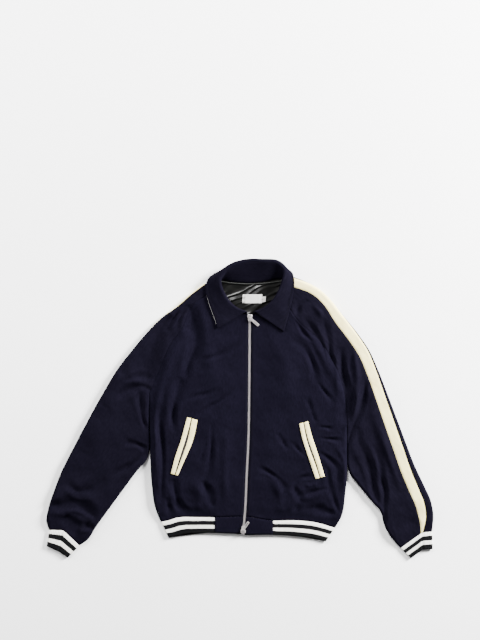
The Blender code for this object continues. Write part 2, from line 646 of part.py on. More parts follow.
# ---------------------------------------------------------------- collar, neck and label

def collar_sections():
    """Sections of the collar: a straight stand, a round roll and a straight fall, in the plane of each row."""
    table = np.array(COLLAR, float)
    dense = [curve(table[:, k], 8) for k in range(3)]
    rows = np.linspace(0, len(dense[0]) - 1, COLLAR_ROWS).round().astype(int)
    seam, tip, fall = (line[rows] for line in dense)
    first = seam - tip
    last = fall - tip
    first /= np.linalg.norm(first, axis=1, keepdims=True)
    last /= np.linalg.norm(last, axis=1, keepdims=True)
    inwards = first + last
    inwards /= np.linalg.norm(inwards, axis=1, keepdims=True)
    across = first - last
    across -= inwards * (across * inwards).sum(1, keepdims=True)
    across /= np.linalg.norm(across, axis=1, keepdims=True)
    centre = tip + inwards * COLLAR_FOLD
    columns = []
    arc = np.linspace(75, -75, 5)
    ends = []
    for turn in np.radians(arc):
        ends.append(centre + COLLAR_FOLD * (across * math.sin(turn) - inwards * math.cos(turn)))
    columns += [seam + (ends[0] - seam) * t for t in (0.0, 0.5)]
    columns += ends
    columns += [ends[-1] + (fall - ends[-1]) * t for t in (0.25, 0.5, 0.75, 1.0)]
    return np.stack(columns, axis=1)


def make_collar():
    grid = collar_sections()
    x, y = grid[..., 0], grid[..., 1]
    over_jacket = np.repeat(grid[:, -1:, 2] > 8, grid.shape[1], axis=1)
    over_jacket[:, :5] = False
    lowest = height(x, y) + COLLAR_REST
    grid[..., 2] = np.where(over_jacket, np.maximum(grid[..., 2], lowest), grid[..., 2])
    normal = normals_of(grid)
    if normal[12, 1, 2] < 0:
        normal = -normal
    upper = sheet("collar_upper", grid + normal * COLLAR_GAP, UPPER_WALL, "melton_sleeve", outwards=True)
    under = sheet("collar_under", grid - normal * COLLAR_GAP, UNDER_WALL, "melton_sleeve")
    middle_stand = 12 * (grid.shape[1] - 1) + 1
    for made in (upper, under):
        if made.data.polygons[middle_stand].normal.z < 0:
            made.data.flip_normals()


def neck_arc(x):
    """The back neck seam's line: lowest in the middle and rising to both sides."""
    return NECK_ARC_LOW[1] + NECK_ARC_RISE * ((x - NECK_ARC_LOW[0]) / NECK_ARC_HALF) ** 2


def lining_height(x, y):
    """The lining lies on the back in slanting creases."""
    slant = (x * 0.45 + y) / 15
    return WALL + SEAM + 1.0 + 0.9 * (1 + np.sin(slant * 2 * math.pi + x / 40)) * smooth_step((347 - y) / 18)


def make_neck():
    x = np.linspace(-62, 118, 13)
    top = neck_arc(x) - 1.2
    rows = [np.stack([x, top + (254 - top) * t, 0 * x], axis=1) for t in np.linspace(0, 1, 9)]
    grid = np.array(rows)
    grid[..., 2] = lining_height(grid[..., 0], grid[..., 1])
    sheet("lining_back_neck", grid, LINING_WALL, "satin_lining")
    piping = bpy.data.curves.new("neck_piping", "CURVE")
    piping.dimensions = "3D"
    spline = piping.splines.new("POLY")
    x = np.linspace(-50, 109, 9)
    points = np.stack([x, neck_arc(x) - 3.2, 0 * x + PIPING_HEIGHT, 0 * x + 1], axis=1)
    points[:, :3] *= MM
    spline.points.add(len(x) - 1)
    spline.points.foreach_set("co", points.astype(np.float32).ravel())
    piping.bevel_depth = PIPING_RADIUS * MM
    piping.bevel_resolution = 1
    piping.use_fill_caps = True
    add_object("neck_piping", piping, "piping")
    for name, edges in (("label", LABEL_EDGES), ("size_tab", SIZE_TAB_EDGES)):
        u, v = np.meshgrid(np.linspace(*edges[:2], 5), np.linspace(*edges[2:], 3))
        sheet(name, np.dstack([u, v, 0 * u + LABEL_TOP]), LABEL_WALL, "label_white")


# ---------------------------------------------------------------- pockets

def make_pockets():
    for side, table in (("right", POCKET_RIGHT), ("left", POCKET_LEFT)):
        rows = np.array(table, float)
        y = np.linspace(rows[0, 0], rows[-1, 0], 9)
        left, slit, right = (np.interp(y, rows[::-1, 0], rows[::-1, k]) for k in (1, 2, 3))
        open_by = 0.5 + 1.2 * np.sin(math.pi * np.linspace(0, 1, 9))
        lean = WELT_END_DROP if side == "right" else -WELT_END_DROP
        edges = {"left_edge": (left, slit - open_by), "right_edge": (slit + open_by, right)}
        for edge, (a, b) in edges.items():
            outer = (edge == "left_edge") == (side == "right")
            t = np.linspace(0, 1, 3)[None]
            x = a[:, None] + (b - a)[:, None] * t
            drop = (x - slit[:, None]) / 14 * lean * -0.5
            level = y[:, None] + drop
            z = height(x, level) + SEAM * 2 + WELT_WALL + np.array(WELT_CROWN)
            name = f"pocket_{side}_{'outer' if outer else 'inner'}_welt"
            sheet(name, np.dstack([x, level, z]), WELT_WALL, "cream_felt")


# ---------------------------------------------------------------- zip

def strip(name, line, left, right, drop, wall, finish, columns=2):
    """A strip along the zip between two sideways offsets, a set depth below the fronts' face."""
    x = line[:, :1] + np.linspace(left, right, columns)[None]
    y = np.broadcast_to(line[:, 1:], x.shape)
    z = height(x, y) - drop
    return sheet(name, np.dstack([x, y, z]), wall, finish)


def slider(prefix, place, tab_length, tab_turn, opening):
    """A slider with a crown, and a pull tab hinged on a pin through the crown."""
    x, y = place
    top = float(height(np.array(x), np.array(y)))
    base = top + SEAM
    body = add_object(f"{prefix}_slider", mesh_box(f"{prefix}_slider", (11, SLIDER_LENGTH, SLIDER_WALL),
                                                   (0, 0, SLIDER_WALL / 2), 0.6), "zip_metal")
    body.location = (x * MM, y * MM, base * MM)
    taper = mesh_box("shoulder", (14.5, SLIDER_LENGTH * 0.45, SLIDER_WALL), (0, 0, SLIDER_WALL / 2), 0.6)
    shoulder = helper(f"{prefix}_shoulder", taper, (x, y + opening * SLIDER_LENGTH * 0.24, base))
    crown_size = (CROWN_WIDTH, 2 * CROWN_REACH, CROWN_RISE + 1)
    crown = helper(f"{prefix}_crown", mesh_box("crown", crown_size, (0, 0, crown_size[2] / 2 - 1), 0.2),
                   (x, y, base + SLIDER_WALL))
    hole_size = (CROWN_WIDTH + 2, 2 * CROWN_REACH - 1.6, CROWN_RISE - 1.0)
    hole = helper(f"{prefix}_crown_hole", mesh_box("crown_hole", hole_size, (0, 0, hole_size[2] / 2 + 0.05)),
                  (x, y, base + SLIDER_WALL))
    union(body, [shoulder, crown])
    union(body, [hole], "DIFFERENCE")

    pivot = (x, y, base + SLIDER_WALL + PIN_HEIGHT)
    hinge = bpy.data.objects.new(f"{prefix}_pull_hinge", None)
    hinge.location = [v * MM for v in pivot]
    jacket.objects.link(hinge)
    far = 4.6
    plate = (tab_length - far, TAB_WIDTH, TAB_WALL)
    tab = add_object(f"{prefix}_pull", mesh_box(f"{prefix}_pull", plate, (far + plate[0] / 2, 0, 0), 0.4),
                     "zip_metal")
    tab.parent = hinge
    hinge.rotation_euler = (0, math.radians(TAB_LEAN), math.radians(tab_turn))
    arm = (far + 1.4, TAB_WIDTH / 2 - FORK_INNER, TAB_WALL)
    solids = []
    for sign in (1, -1):
        centre = (arm[0] / 2 - 0.7, sign * (TAB_WIDTH / 2 + FORK_INNER) / 2, 0)
        solids.append(helper(f"{prefix}_arm_{'left' if sign > 0 else 'right'}",
                             mesh_box("arm", arm, centre), pivot, tab_turn, TAB_LEAN))
    pin_shape = bmesh.new()
    bmesh.ops.create_cone(pin_shape, cap_ends=True, segments=10, radius1=PIN_RADIUS * MM,
                          radius2=PIN_RADIUS * MM, depth=(TAB_WIDTH - 0.3) * MM)
    pin = bpy.data.meshes.new(f"{prefix}_pin")
    pin_shape.to_mesh(pin)
    pin_shape.free()
    pin_object = helper(f"{prefix}_pin", pin, pivot)
    pin_object.rotation_euler = (math.pi / 2, 0, math.radians(tab_turn))
    union(tab, solids + [pin_object])


def make_zip():
    line = curve(ZIP_LINE[::-1])
    line = along(line[line[:, 1] < 251], np.linspace(0, 1, 20))
    drop = WALL + 0.4
    strip("zip_tape_right", line, -TAPE_OUTER, -TAPE_INNER, drop, TAPE_WALL, "zip_tape")
    strip("zip_tape_left", line, TAPE_INNER, TAPE_OUTER, drop, TAPE_WALL, "zip_tape")
    strip("zip_chain", line, -CHAIN_HALF, CHAIN_HALF, drop - SEAM - CHAIN_WALL, CHAIN_WALL, "zip_metal", 3)
    slider("top", (27, 249), TOP_TAB_LENGTH, TOP_TAB_TURN, 1)
    slider("bottom", (8.6, -333), BOTTOM_TAB_LENGTH, BOTTOM_TAB_TURN, -1)


for old in list(bpy.data.objects):
    bpy.data.objects.remove(old, do_unlink=True)
jacket = bpy.data.collections.new("bomber_jacket")
cutters = bpy.data.collections.new("cutters")
bpy.context.scene.collection.children.link(jacket)
bpy.context.scene.collection.children.link(cutters)

make_body()
sleeve("right", OUTER_RIGHT, INNER_RIGHT, RAGLAN_RIGHT, SHOULDER_RIGHT, STRIPE_RIGHT, CUFF_RIGHT)
sleeve("left", OUTER_LEFT, INNER_LEFT, RAGLAN_LEFT, SHOULDER_LEFT, STRIPE_LEFT, CUFF_LEFT)
make_ribs()
make_collar()
make_neck()
make_pockets()
make_zip()
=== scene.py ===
# Zip bomber jacket in navy melton, laid flat: cream felt stripes and welts, striped rib, point collar.
# Lengths are in millimetres until a mesh is made; the jacket lies on z = 0 with its neck towards +Y.
import math

import bmesh
import bpy
import numpy as np
from mathutils import Matrix


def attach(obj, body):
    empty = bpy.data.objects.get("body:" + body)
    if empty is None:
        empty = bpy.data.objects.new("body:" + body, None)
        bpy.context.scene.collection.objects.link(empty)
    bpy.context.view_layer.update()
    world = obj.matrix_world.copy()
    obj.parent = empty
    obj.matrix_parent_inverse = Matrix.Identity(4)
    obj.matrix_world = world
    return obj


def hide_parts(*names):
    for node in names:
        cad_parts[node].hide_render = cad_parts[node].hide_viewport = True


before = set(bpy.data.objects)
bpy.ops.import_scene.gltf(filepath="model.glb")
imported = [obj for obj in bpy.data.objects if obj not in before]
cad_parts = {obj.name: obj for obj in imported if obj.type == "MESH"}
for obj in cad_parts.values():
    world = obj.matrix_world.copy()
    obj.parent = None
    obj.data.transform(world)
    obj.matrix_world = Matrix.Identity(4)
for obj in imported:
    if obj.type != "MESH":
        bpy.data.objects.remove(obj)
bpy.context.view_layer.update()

mm = 0.001

# What the whole cloth shell is like
cloth = {
    "wall": 2.4,  # melton with its lining
    "puff": 9.8, "swell": 2.6,  # height beside the zip, and how much higher it lies elsewhere
    "ribTop": 6.6, "bandTop": 8.4,  # height at the ribs, and at the plain bands beside the zip
    "middle": 11.0,  # x of the hem's middle
    "bandReach": 75.0,  # how far from it the bands' height holds
    "ease": 34.0, "swellEase": 90.0,  # how far from a rib the cloth takes to rise, and to swell
    # how far from the zip each one starts, and how far it takes to grow to its full height
    "swellFrom": (14, 60), "foldsFrom": (10, 30), "unevenFrom": (8, 20),
    "edge": 4.6,  # height of a folded edge's widest line
    "topRoll": 8.5, "topArc": 11.0,  # the fold's width and length above that line
    "floorRoll": 6.0, "floorArc": 8.4,  # and below it
    "tuck": 1.5, "underGap": 0.2,  # how far it runs on beneath, and its distance from the back's edge
    "seamInset": -0.06,  # neighbours overlap by this much in a seam
    "seamDrop": 1.1, "seamReach": 2.4,  # how deep a seam dips, and how far from it
    "lowest": 5.0, "levelling": 0.9,  # no trough goes deeper, and how gently they level out there
    "uneven": [(0.55, 95, 3), (0.28, 38, 4), (0.1, 17, 5)],  # height, length and seed of each soft wave
    "gather": 0.55, "gatherReach": 17.0,  # height of the gathers at a rib, and how far they reach
    "gatherFrom": (60, 30),  # how far from the hem's middle they start, and take to grow
    "gatherWaves": (3.1, 19.0, 11.0),  # lengths over 2 pi: of one gather, of its wander and of its swell
}

# The lying jacket's lines as seen from above, wearer's right at -X
zipLine = [(27, 262), (26, 130), (25, 24), (23, -86), (18, -191), (14, -279), (8, -346)]
cut = {
    "right": {
        "side": [(-217, -312), (-233, -273), (-243, -210), (-247, -140), (-249, -50), (-250, 41)],
        "raglan": [(-250, 41), (-233, 81), (-215, 122), (-195, 172), (-163, 216), (-132, 282), (-75, 321)],
        "neckSide": [(-75, 321), (-74, 334), (-64, 350)],
        "neck": [(20, 258), (-11, 268.5), (-41, 286.5), (-62, 307), (-75, 321)],
        "outer": [(-96, 345), (-138, 313), (-173, 282), (-219, 247), (-250, 216), (-296, 162), (-335, 112),
                  (-373, 50), (-418, -31), (-462, -115), (-493, -177), (-512, -227), (-529, -280),
                  (-533, -312), (-525, -334)],
        "inner": [(-250, 41), (-249.2, -50), (-248.3, -112), (-256, -139), (-281, -169), (-316, -216),
                  (-358, -273), (-397, -327), (-420, -362), (-442, -377)],
        "hemSeam": [(-217, -312), (-197, -308), (-175, -301), (-121, -299), (-70, -299), (4, -297)],
        "hemEdge": [(-196, -356), (-175, -351), (-153, -345), (-121, -343), (-70, -343), (4, -346)],
        "bandEnd": -70,  # where the plain band meets the rib
        "cuff": [((-525, -334), (-487, -335), (-442, -377)), ((-532.4, -379), (-497, -395), (-474, -411))],
        "shoulder": 0.44,  # share of the outer edge that faces the raglan seam
        # stripe seams: share of the outer edge, then the front and back seam as lengths over the cloth
        "stripe": [(0.00, 5, -14), (0.04, 4, -14), (0.08, 5, -16), (0.12, 4, -20), (0.17, 1, -26),
                   (0.25, -4, -36), (0.34, -9, -42), (0.90, -9, -40), (1.00, -9, -34)],
    },
    "left": {
        "side": [(261, -328), (279, -297), (290, -234), (295, -174), (295, -100), (294, -35)],
        "raglan": [(294, -35), (286, 46), (257, 127), (213, 193), (162, 238), (133, 282), (123, 310)],
        "neckSide": [(123, 310), (130, 334), (122, 355)],
        "neck": [(34, 258.5), (52, 264.5), (75, 273.5), (98, 291), (123, 310)],
        "outer": [(149, 362), (179, 350), (212, 333), (249, 300), (278, 263), (326, 204), (356, 160),
                  (378, 112), (407, 38), (433, -31), (456, -92), (481, -157), (507, -212), (525, -252),
                  (532.3, -290), (529, -338)],
        "inner": [(294, -35), (294.6, -100), (295.4, -154), (301, -177), (322, -205), (363, -256),
                  (388, -286), (395, -315), (411, -348), (442, -384)],
        "hemSeam": [(261, -328), (205, -313), (155, -308), (91, -308), (20, -297)],
        "hemEdge": [(236, -366), (205, -358), (155, -352), (91, -348), (20, -349)],
        "bandEnd": 91,
        "cuff": [((529, -338), (502, -341), (442, -384)), ((530, -387), (502, -389), (471, -412))],
        "shoulder": 0.55,
        "stripe": [(0.00, 31, 6), (0.04, 28, 4), (0.08, 25, -4), (0.14, 25, -4), (0.20, 31, 1), (0.26, 33, 5),
                   (0.36, 35, 7), (0.48, 37, 10), (0.60, 40, 12), (0.74, 43, 15), (0.84, 47, 20),
                   (0.90, 48, 22), (0.95, 45, 23), (1.00, 31, 28)],
    },
}
signs = {"right": -1, "left": 1}

# Rows across the pieces: the body's underarm, neck corner and back neck, and the sleeve's underarm
rows = {"underarm": 9, "neck": 16, "back": 18, "armpit": 7, "steps": 12, "backSteps": 7}

# A fold's section, in its half widths
creasing = {
    "sharp": 1.15, "power": 1.4,  # a trough's floor
    "shoulder": 0.24, "shoulderAt": 1.7, "shoulderWidth": 0.6,
    "ridgeDip": 0.45,  # how much a ridge dips beside its top
    "uneven": 0.28,  # how much a fold's height changes along its line
    "endPower": 0.6,  # less is blunter
}

# Folds of the upper cloth: lift, half width, then the points of the fold's line
folds = [
    (-9.3, 16, [(-140, 287), (-133, 254), (-128, 224), (-121, 195), (-125, 161), (-142, 126), (-153, 81)]),
    (-8.2, 14, [(-162, 87), (-176, 41), (-184, 0), (-183, -66)]),
    (-5.0, 9, [(-138, 283), (-160, 259), (-178, 225)]),
    (-5.0, 9, [(-165, 269), (-192, 235), (-203, 211)]),
    (-9.5, 24, [(-190, 258), (-224, 212), (-243, 160), (-256, 114), (-262, 68)]),
    (-3.8, 8, [(-316, 78), (-292, 87), (-268, 90), (-241, 83)]),
    (-5.6, 10, [(-336, 30), (-300, 53), (-270, 62), (-245, 50)]),
    (-5.0, 9, [(-278, 54), (-274, 9), (-268, -27), (-256, -58)]),
    (-5.0, 9, [(-316, -94), (-285, -97), (-254, -115)]),
    (-5.1, 10, [(-256, -121), (-290, -145), (-320, -168), (-352, -182)]),
    (-5.4, 16, [(-479, -202), (-446, -229), (-404, -217), (-366, -196)]),
    (-9.5, 18, [(-530, -268), (-494, -267), (-460, -258), (-431, -276), (-394, -303)]),
    (-8.9, 17, [(-490, -301), (-470, -316), (-454, -355)]),
    (-5.9, 12, [(-442, -310), (-419, -322), (-399, -338)]),
    (-5.0, 9, [(-226, 16), (-220, -60), (-212, -130), (-214, -200), (-217, -262)]),
    (-7.3, 13, [(-185, -193), (-175, -241), (-165, -269), (-144, -297)]),
    (-5.0, 9, [(-202, -245), (-196, -271), (-190, -297)]),
    (-4.5, 8, [(-78, -40), (-78, -100), (-87, -169), (-102, -213)]),
    (-6.2, 11, [(-106, -198), (-88, -230), (-76, -273)]),
    (-2.8, 5, [(-92, -97), (-101, -123), (-113, -149)]),
    (-3.9, 7, [(-122, -20), (-82, 4), (-55, 22), (-22, 44)]),
    (-3.0, 9, [(-150, 25), (-100, 39), (-50, 53)]),
    (-4.1, 9, [(-106, 133), (-60, 147), (-30, 160), (8, 186)]),
    (-4.5, 8, [(188, 298), (163, 283), (154, 251)]),
    (-2.8, 5, [(154, 241), (173, 210), (198, 184)]),
    (-3.6, 8, [(177, 250), (202, 213), (222, 186), (234, 155)]),
    (-4.6, 10, [(228, 267), (236, 214), (244, 184), (248, 149), (264, 114)]),
    (-5.1, 12, [(141, 190), (171, 171), (190, 145), (204, 109), (208, 69)]),
    (-3.9, 7, [(209, 76), (232, 48), (259, 12)]),
    (-8.0, 14, [(278, 168), (281, 109), (288, 59), (292, 10), (285, -42)]),
    (-5.2, 9, [(346, 78), (337, 21), (325, -14), (311, -49), (300, -83), (295, -112)]),
    (-6.2, 11, [(324, -50), (327, -96), (341, -122), (354, -151), (363, -191), (368, -231), (380, -264)]),
    (-5.6, 10, [(367, -101), (380, -151), (387, -191), (398, -230), (396, -270), (398, -322)]),
    (-3.9, 7, [(183, 31), (197, -6), (209, -39)]),
    (-3.3, 6, [(218, -50), (254, -55)]),
    (-3.4, 6, [(222, -82), (282, -88)]),
    (-4.1, 8, [(214, -117), (248, -142), (264, -161), (269, -208)]),
    (-3.9, 7, [(240, -160), (245, -211), (255, -241), (271, -285)]),
    (-3.3, 6, [(102, -68), (118, -92), (131, -114)]),
    (-3.3, 6, [(142, -90), (160, -112), (178, -132)]),
    (-4.1, 8, [(49, -161), (83, -177), (107, -197), (127, -224)]),
    (-5.0, 9, [(198, -183), (165, -193), (149, -215), (160, -238), (176, -264)]),
    (-3.9, 7, [(238, -219), (200, -230), (168, -241)]),
    (-4.5, 8, [(146, -299), (158, -271), (170, -249)]),
    (-4.6, 12, [(202, -270), (225, -282), (261, -290)]),
    (6.0, 14, [(-150, 222), (-166, 190), (-187, 149), (-203, 99), (-221, 49), (-230, 0),
               (-232, -120), (-226, -220)]),
    (4.5, 26, [(-146, 148), (-167, 108), (-190, 39), (-191, -40)]),
    (3.7, 34, [(-54, 198), (-81, 168), (-77, 97), (-71, 41)]),
    (3.4, 22, [(-327, 98), (-353, 48), (-373, 8)]),
    (6.0, 34, [(-330, 36), (-374, -34), (-424, -124)]),
    (2.5, 5, [(-490, -283), (-455, -281), (-420, -296), (-397, -307)]),
    (4.1, 20, [(-135, -188), (-116, -229), (-113, -280)]),
    (3.1, 16, [(-36, -60), (-42, -160), (-40, -260)]),
    (3.7, 44, [(81, 197), (122, 135), (131, 59), (103, 7)]),
    (3.7, 12, [(199, 288), (219, 264), (239, 228)]),
    (3.2, 13, [(193, 198), (217, 162), (243, 112), (272, 62), (286, 11)]),
    (6.5, 10, [(314, 158), (320, 104), (322, 50), (318, 4), (306, -34)]),
    (5.1, 16, [(360, 60), (367, 1), (388, -69), (418, -158), (444, -228)]),
    (3.4, 16, [(88, -188), (109, -239), (110, -284)]),
    (3.1, 9, [(180, -213), (196, -211), (214, -206)]),
    (3.1, 12, [(265, -99), (287, -149), (287, -220)]),
    (2.6, 8, [(348, -89), (368, -129), (384, -190), (390, -240)]),
    (-4.0, 24, [(296, -112), (328, -166), (360, -216), (394, -276)]),
    (-4.0, 28, [(-522, -304), (-470, -308), (-424, -334)]),
    (-3.0, 30, [(424, -332), (454, -322), (492, -300)]),
    (-3.4, 24, [(-212, -272), (-174, -268), (-136, -284)]),
    (-3.4, 26, [(160, -282), (208, -274), (258, -284)]),
]


# ---- lines
def smoothLine(points, steps=14):
    # cubic spans between the points, with tangents weighted by the chords' lengths
    p = np.array(points, float)
    chord = np.linalg.norm(np.diff(p, axis=0), axis=1)[:, None]
    slope = np.diff(p, axis=0) / chord
    inner = (slope[:-1] * chord[1:] + slope[1:] * chord[:-1]) / (chord[:-1] + chord[1:])
    tangent = np.vstack([slope[:1], inner, slope[-1:]])
    t = np.linspace(0, 1, steps, endpoint=False)[:, None]
    spans = [
        (2 * t**3 - 3 * t**2 + 1) * a + (t**3 - 2 * t**2 + t) * h * m
        + (3 * t**2 - 2 * t**3) * b + (t**3 - t**2) * h * n
        for a, b, h, m, n in zip(p[:-1], p[1:], chord, tangent[:-1], tangent[1:])
    ]
    return np.vstack(spans + [p[-1:]])


def lineLength(line):
    # the sum of a line's straight steps
    return np.linalg.norm(np.diff(np.asarray(line, float), axis=0), axis=1).sum()


def along(line, shares):
    # points at the given shares of a line's length
    line = np.asarray(line, float)
    steps = np.r_[0, np.cumsum(np.linalg.norm(np.diff(line, axis=0), axis=1))]
    at = np.asarray(shares, float) * steps[-1]
    return np.stack([np.interp(at, steps, line[:, k]) for k in range(line.shape[1])], axis=1)


def reach(x, y, line):
    # distance from each place to a line of straight spans, and the share of its length nearest to it
    line = np.array(line, float)
    lengths = np.linalg.norm(np.diff(line, axis=0), axis=1)
    best = np.full(np.shape(x), 1e9)
    where = np.zeros(np.shape(x))
    start = 0.0
    for a, b, length in zip(line[:-1], line[1:], lengths):
        dx, dy = b - a
        s = np.clip(((x - a[0]) * dx + (y - a[1]) * dy) / length**2, 0, 1)
        away = np.hypot(x - a[0] - s * dx, y - a[1] - s * dy)
        closer = away < best
        best = np.where(closer, away, best)
        where = np.where(closer, (start + s * length) / lengths.sum(), where)
        start += length
    return best, where


def smoothStep(x):
    # 0 before 0, 1 past 1, and three squares less two cubes between them
    x = np.clip(x, 0, 1)
    return x * x * (3 - 2 * x)


def ramp(x, start, length):
    # 0 up to the start and 1 from a length further on
    return smoothStep((x - start) / length)


def bell(x, width):
    # 1 in the middle, falling with the square of the distance in widths
    return np.exp(-(x / width) ** 2)


def unit(vectors):
    # each vector divided by its own length
    return vectors / np.maximum(np.linalg.norm(vectors, axis=-1, keepdims=True), 1e-9)


def circle(count):
    # angles spread evenly over a full turn
    return np.linspace(0, 2 * math.pi, count, endpoint=False)


def crowded(count, end):
    # shares from 0 to 1 that lie closer together at both ends
    t = np.linspace(0, 1, count)
    return (1 - end) * t + end * smoothStep(t)


def columnLengths(grid, axis):
    # length from the grid's first row or column to each point, measured over the surface
    step = np.linalg.norm(np.diff(grid, axis=axis), axis=-1)
    zero = np.zeros_like(np.take(step, [0], axis=axis))
    return np.concatenate([zero, np.cumsum(step, axis=axis)], axis=axis)


# ---- the height of the cloth
def zipX(y):
    # x of the zip's line at each y
    line = np.array(zipLine[::-1], float)
    return np.interp(y, line[:, 1], line[:, 0])


def waves(x, y, length, seed, count=6):
    # a soft uneven surface: a sum of sine waves near one length, in directions spread over the circle
    draw = np.random.default_rng(seed)
    turn = np.arange(count) * math.pi / count + draw.uniform(-0.3, 0.3, count)
    size = length * draw.uniform(0.7, 1.45, count)
    start = draw.uniform(0, 2 * math.pi, count)
    total = 0 * x
    for a, w, p in zip(turn, size, start):
        total = total + np.sin((x * math.cos(a) + y * math.sin(a)) * 2 * math.pi / w + p)
    return total / math.sqrt(count)


def addFolds(x, y, lines):
    # a ridge is a bell across its line, a trough has a sharper floor and raised shoulders; both are uneven
    # along the line and fade at both ends
    total = np.zeros(np.shape(x))
    for number, (lift, width, points) in enumerate(lines):
        low, high = np.min(points, axis=0) - 3 * width, np.max(points, axis=0) + 3 * width
        near = (x > low[0]) & (x < high[0]) & (y > low[1]) & (y < high[1])
        if not near.any():
            continue
        away, share = reach(x[near], y[near], smoothLine(points, 5))
        uneven = 1 + creasing["uneven"] * np.sin(share * 9 + number * 1.7)
        u = away / (width * (0.85 + 0.25 * np.sin(share * 5 + number)))
        if lift < 0:
            shoulder = creasing["shoulder"] * bell(u - creasing["shoulderAt"], creasing["shoulderWidth"])
            section = np.exp(-creasing["sharp"] * u**creasing["power"]) - shoulder
        else:
            section = bell(u, 1) * (1 - creasing["ridgeDip"] * u**2)
        ends = np.sin(math.pi * np.clip(share, 0, 0.9999)) ** creasing["endPower"]
        total[near] += lift * uneven * section * ends
    return total


def clothHeight(x, y):
    # level cloth that is low beside the ribs, with its folds, its gathers at the ribs and a soft unevenness
    x, y = np.asarray(x, float), np.asarray(y, float)
    ribs = [cut[side]["hemSeam"] for side in cut] + [cut[side]["cuff"][0] for side in cut]
    far = [reach(x, y, line) for line in ribs]
    off = np.min([f[0] for f in far], axis=0)
    hem = np.array(ribs[0] + ribs[1][::-1], float)
    beyond = (y < np.interp(x, hem[:, 0], hem[:, 1])) & (x > hem[0, 0]) & (x < hem[-1, 0])
    off = np.where(beyond, 0, off)
    fromZip, fromMiddle = np.abs(x - zipX(y)), np.abs(x - cloth["middle"])
    low = cloth["bandTop"] + (cloth["ribTop"] - cloth["bandTop"]) * ramp(fromMiddle, cloth["bandReach"], 30)
    extra = cloth["swell"] * ramp(fromZip, *cloth["swellFrom"]) * ramp(off, 0, cloth["swellEase"])
    full = cloth["puff"] + extra
    ease = ramp(off, 0, cloth["ease"])
    z = low + (full - low) * ease + ease * ramp(fromZip, *cloth["foldsFrom"]) * addFolds(x, y, folds)
    uneven = sum(height * waves(x, y, length, seed) for height, length, seed in cloth["uneven"])
    z = z + ramp(off, 0, 12) * ramp(fromZip, *cloth["unevenFrom"]) * uneven
    plain = ramp(fromMiddle, *cloth["gatherFrom"])
    short, wander, swell = cloth["gatherWaves"]
    for number, (away, share) in enumerate(far):
        s = share * lineLength(ribs[number])
        pucker = np.sin(s / short + 1.2 * np.sin(s / wander)) * (0.55 + 0.45 * np.sin(s / swell + number))
        inside = ramp(share, 0.01, 0.05) * ramp(1 - share, 0.01, 0.05)
        fade = ramp(away, 0, 3) * np.exp(-away / cloth["gatherReach"])
        z = z + cloth["gather"] * pucker * inside * plain * fade
    rise = np.minimum((z - cloth["lowest"]) / cloth["levelling"], 60)
    return cloth["lowest"] + cloth["levelling"] * np.log1p(np.exp(rise))


def onCloth(flat):
    # places as points on the upper cloth
    return np.dstack([flat, clothHeight(flat[..., 0], flat[..., 1])])


def seamFall(distance):
    # how far the cloth dips where it turns into a seam: a bell of the distance from it
    return cloth["seamDrop"] * np.exp(-((np.maximum(distance, 0) / cloth["seamReach"]) ** 1.5))


# ---- rows across a piece
def roll(g, span):
    # a folded edge at a length g from its widest line: a quarter ellipse on top, a tighter one beneath
    a = np.clip(g / cloth["topArc"], 0, 1) * math.pi / 2
    b = np.clip(-g / cloth["floorArc"], 0, 1) * math.pi / 2
    inwards = span * (1 - np.cos(a)) + np.maximum(g - cloth["topArc"], 0)
    inwards = inwards + cloth["floorRoll"] * (1 - np.cos(b)) + np.maximum(-g - cloth["floorArc"], 0)
    return inwards, np.sin(a), np.sin(b)


def placed(a, b, share, bend=None):
    # places at the given shares of each row from a to b, moved by the row's bend
    flat = a[:, None] + (b - a)[:, None] * share[..., None]
    return flat if bend is None else flat + bend(share)


def rollSpan(width):
    # a fold's width on top, which is less on a narrow row
    return np.minimum(cloth["topRoll"], 0.4 * width)


def edgePoints(a, b, g, crease, bend=None):
    # places across each row at lengths g from the folded edge a; crease 0 is a seam, 1 a full fold
    width = np.linalg.norm(b - a, axis=1)[:, None]
    span = rollSpan(width)
    inwards, up, down = roll(g, span)
    level = cloth["seamInset"] + (span - cloth["seamInset"]) * g / cloth["topArc"]
    inwards = np.where(crease > 0, crease * inwards + (1 - crease) * level, level)
    grid = onCloth(placed(a, b, inwards / width, bend))
    top = grid[..., 2]
    z = np.where(g >= 0, cloth["edge"] + (top - cloth["edge"]) * up, cloth["edge"] * (1 - down))
    grid[..., 2] = top - crease * (top - z)
    return grid


def foldLengths(crease, columns=17):
    # lengths over the cloth for each row's folded edge, tucked beneath where it is a full fold
    t = np.linspace(0, 1, columns)[None]
    below = -(cloth["floorArc"] + cloth["tuck"]) * smoothStep(2 * crease - 1)[:, None]
    return below + (cloth["topArc"] - below) * t


def roundedTent(share, peak):
    # a bend that is full at its peak and nothing at both ends, with its corner rounded
    bends = [np.clip(np.where(s < peak, s / peak, (1 - s) / (1 - peak)), 0, 1)
             for s in (share, share - 0.03, share + 0.03)]
    return sum(bends) / 3 * ramp(np.minimum(share, 1 - share), 0, 0.06)


def rowEnds(r, parts):
    # the ends of the rows: each part of the row numbers runs along its own line between two shares
    ends = np.zeros((len(r), 2))
    for first, last, line, a, b in parts:
        here = (r >= first) & (r <= last)
        ends[here] = along(smoothLine(line), a + (b - a) * (r[here] - first) / (last - first))
    return ends


# ---- objects
look = bpy.data.collections.new("jacketLook")
scene = bpy.context.scene
scene.collection.children.link(look)
finishes = {}


def newMesh(name, points, faces):
    # a smooth mesh through points in millimetres
    mesh = bpy.data.meshes.new(name)
    mesh.from_pydata((points.reshape(-1, 3) * mm).tolist(), [], faces)
    mesh.shade_smooth()
    return mesh


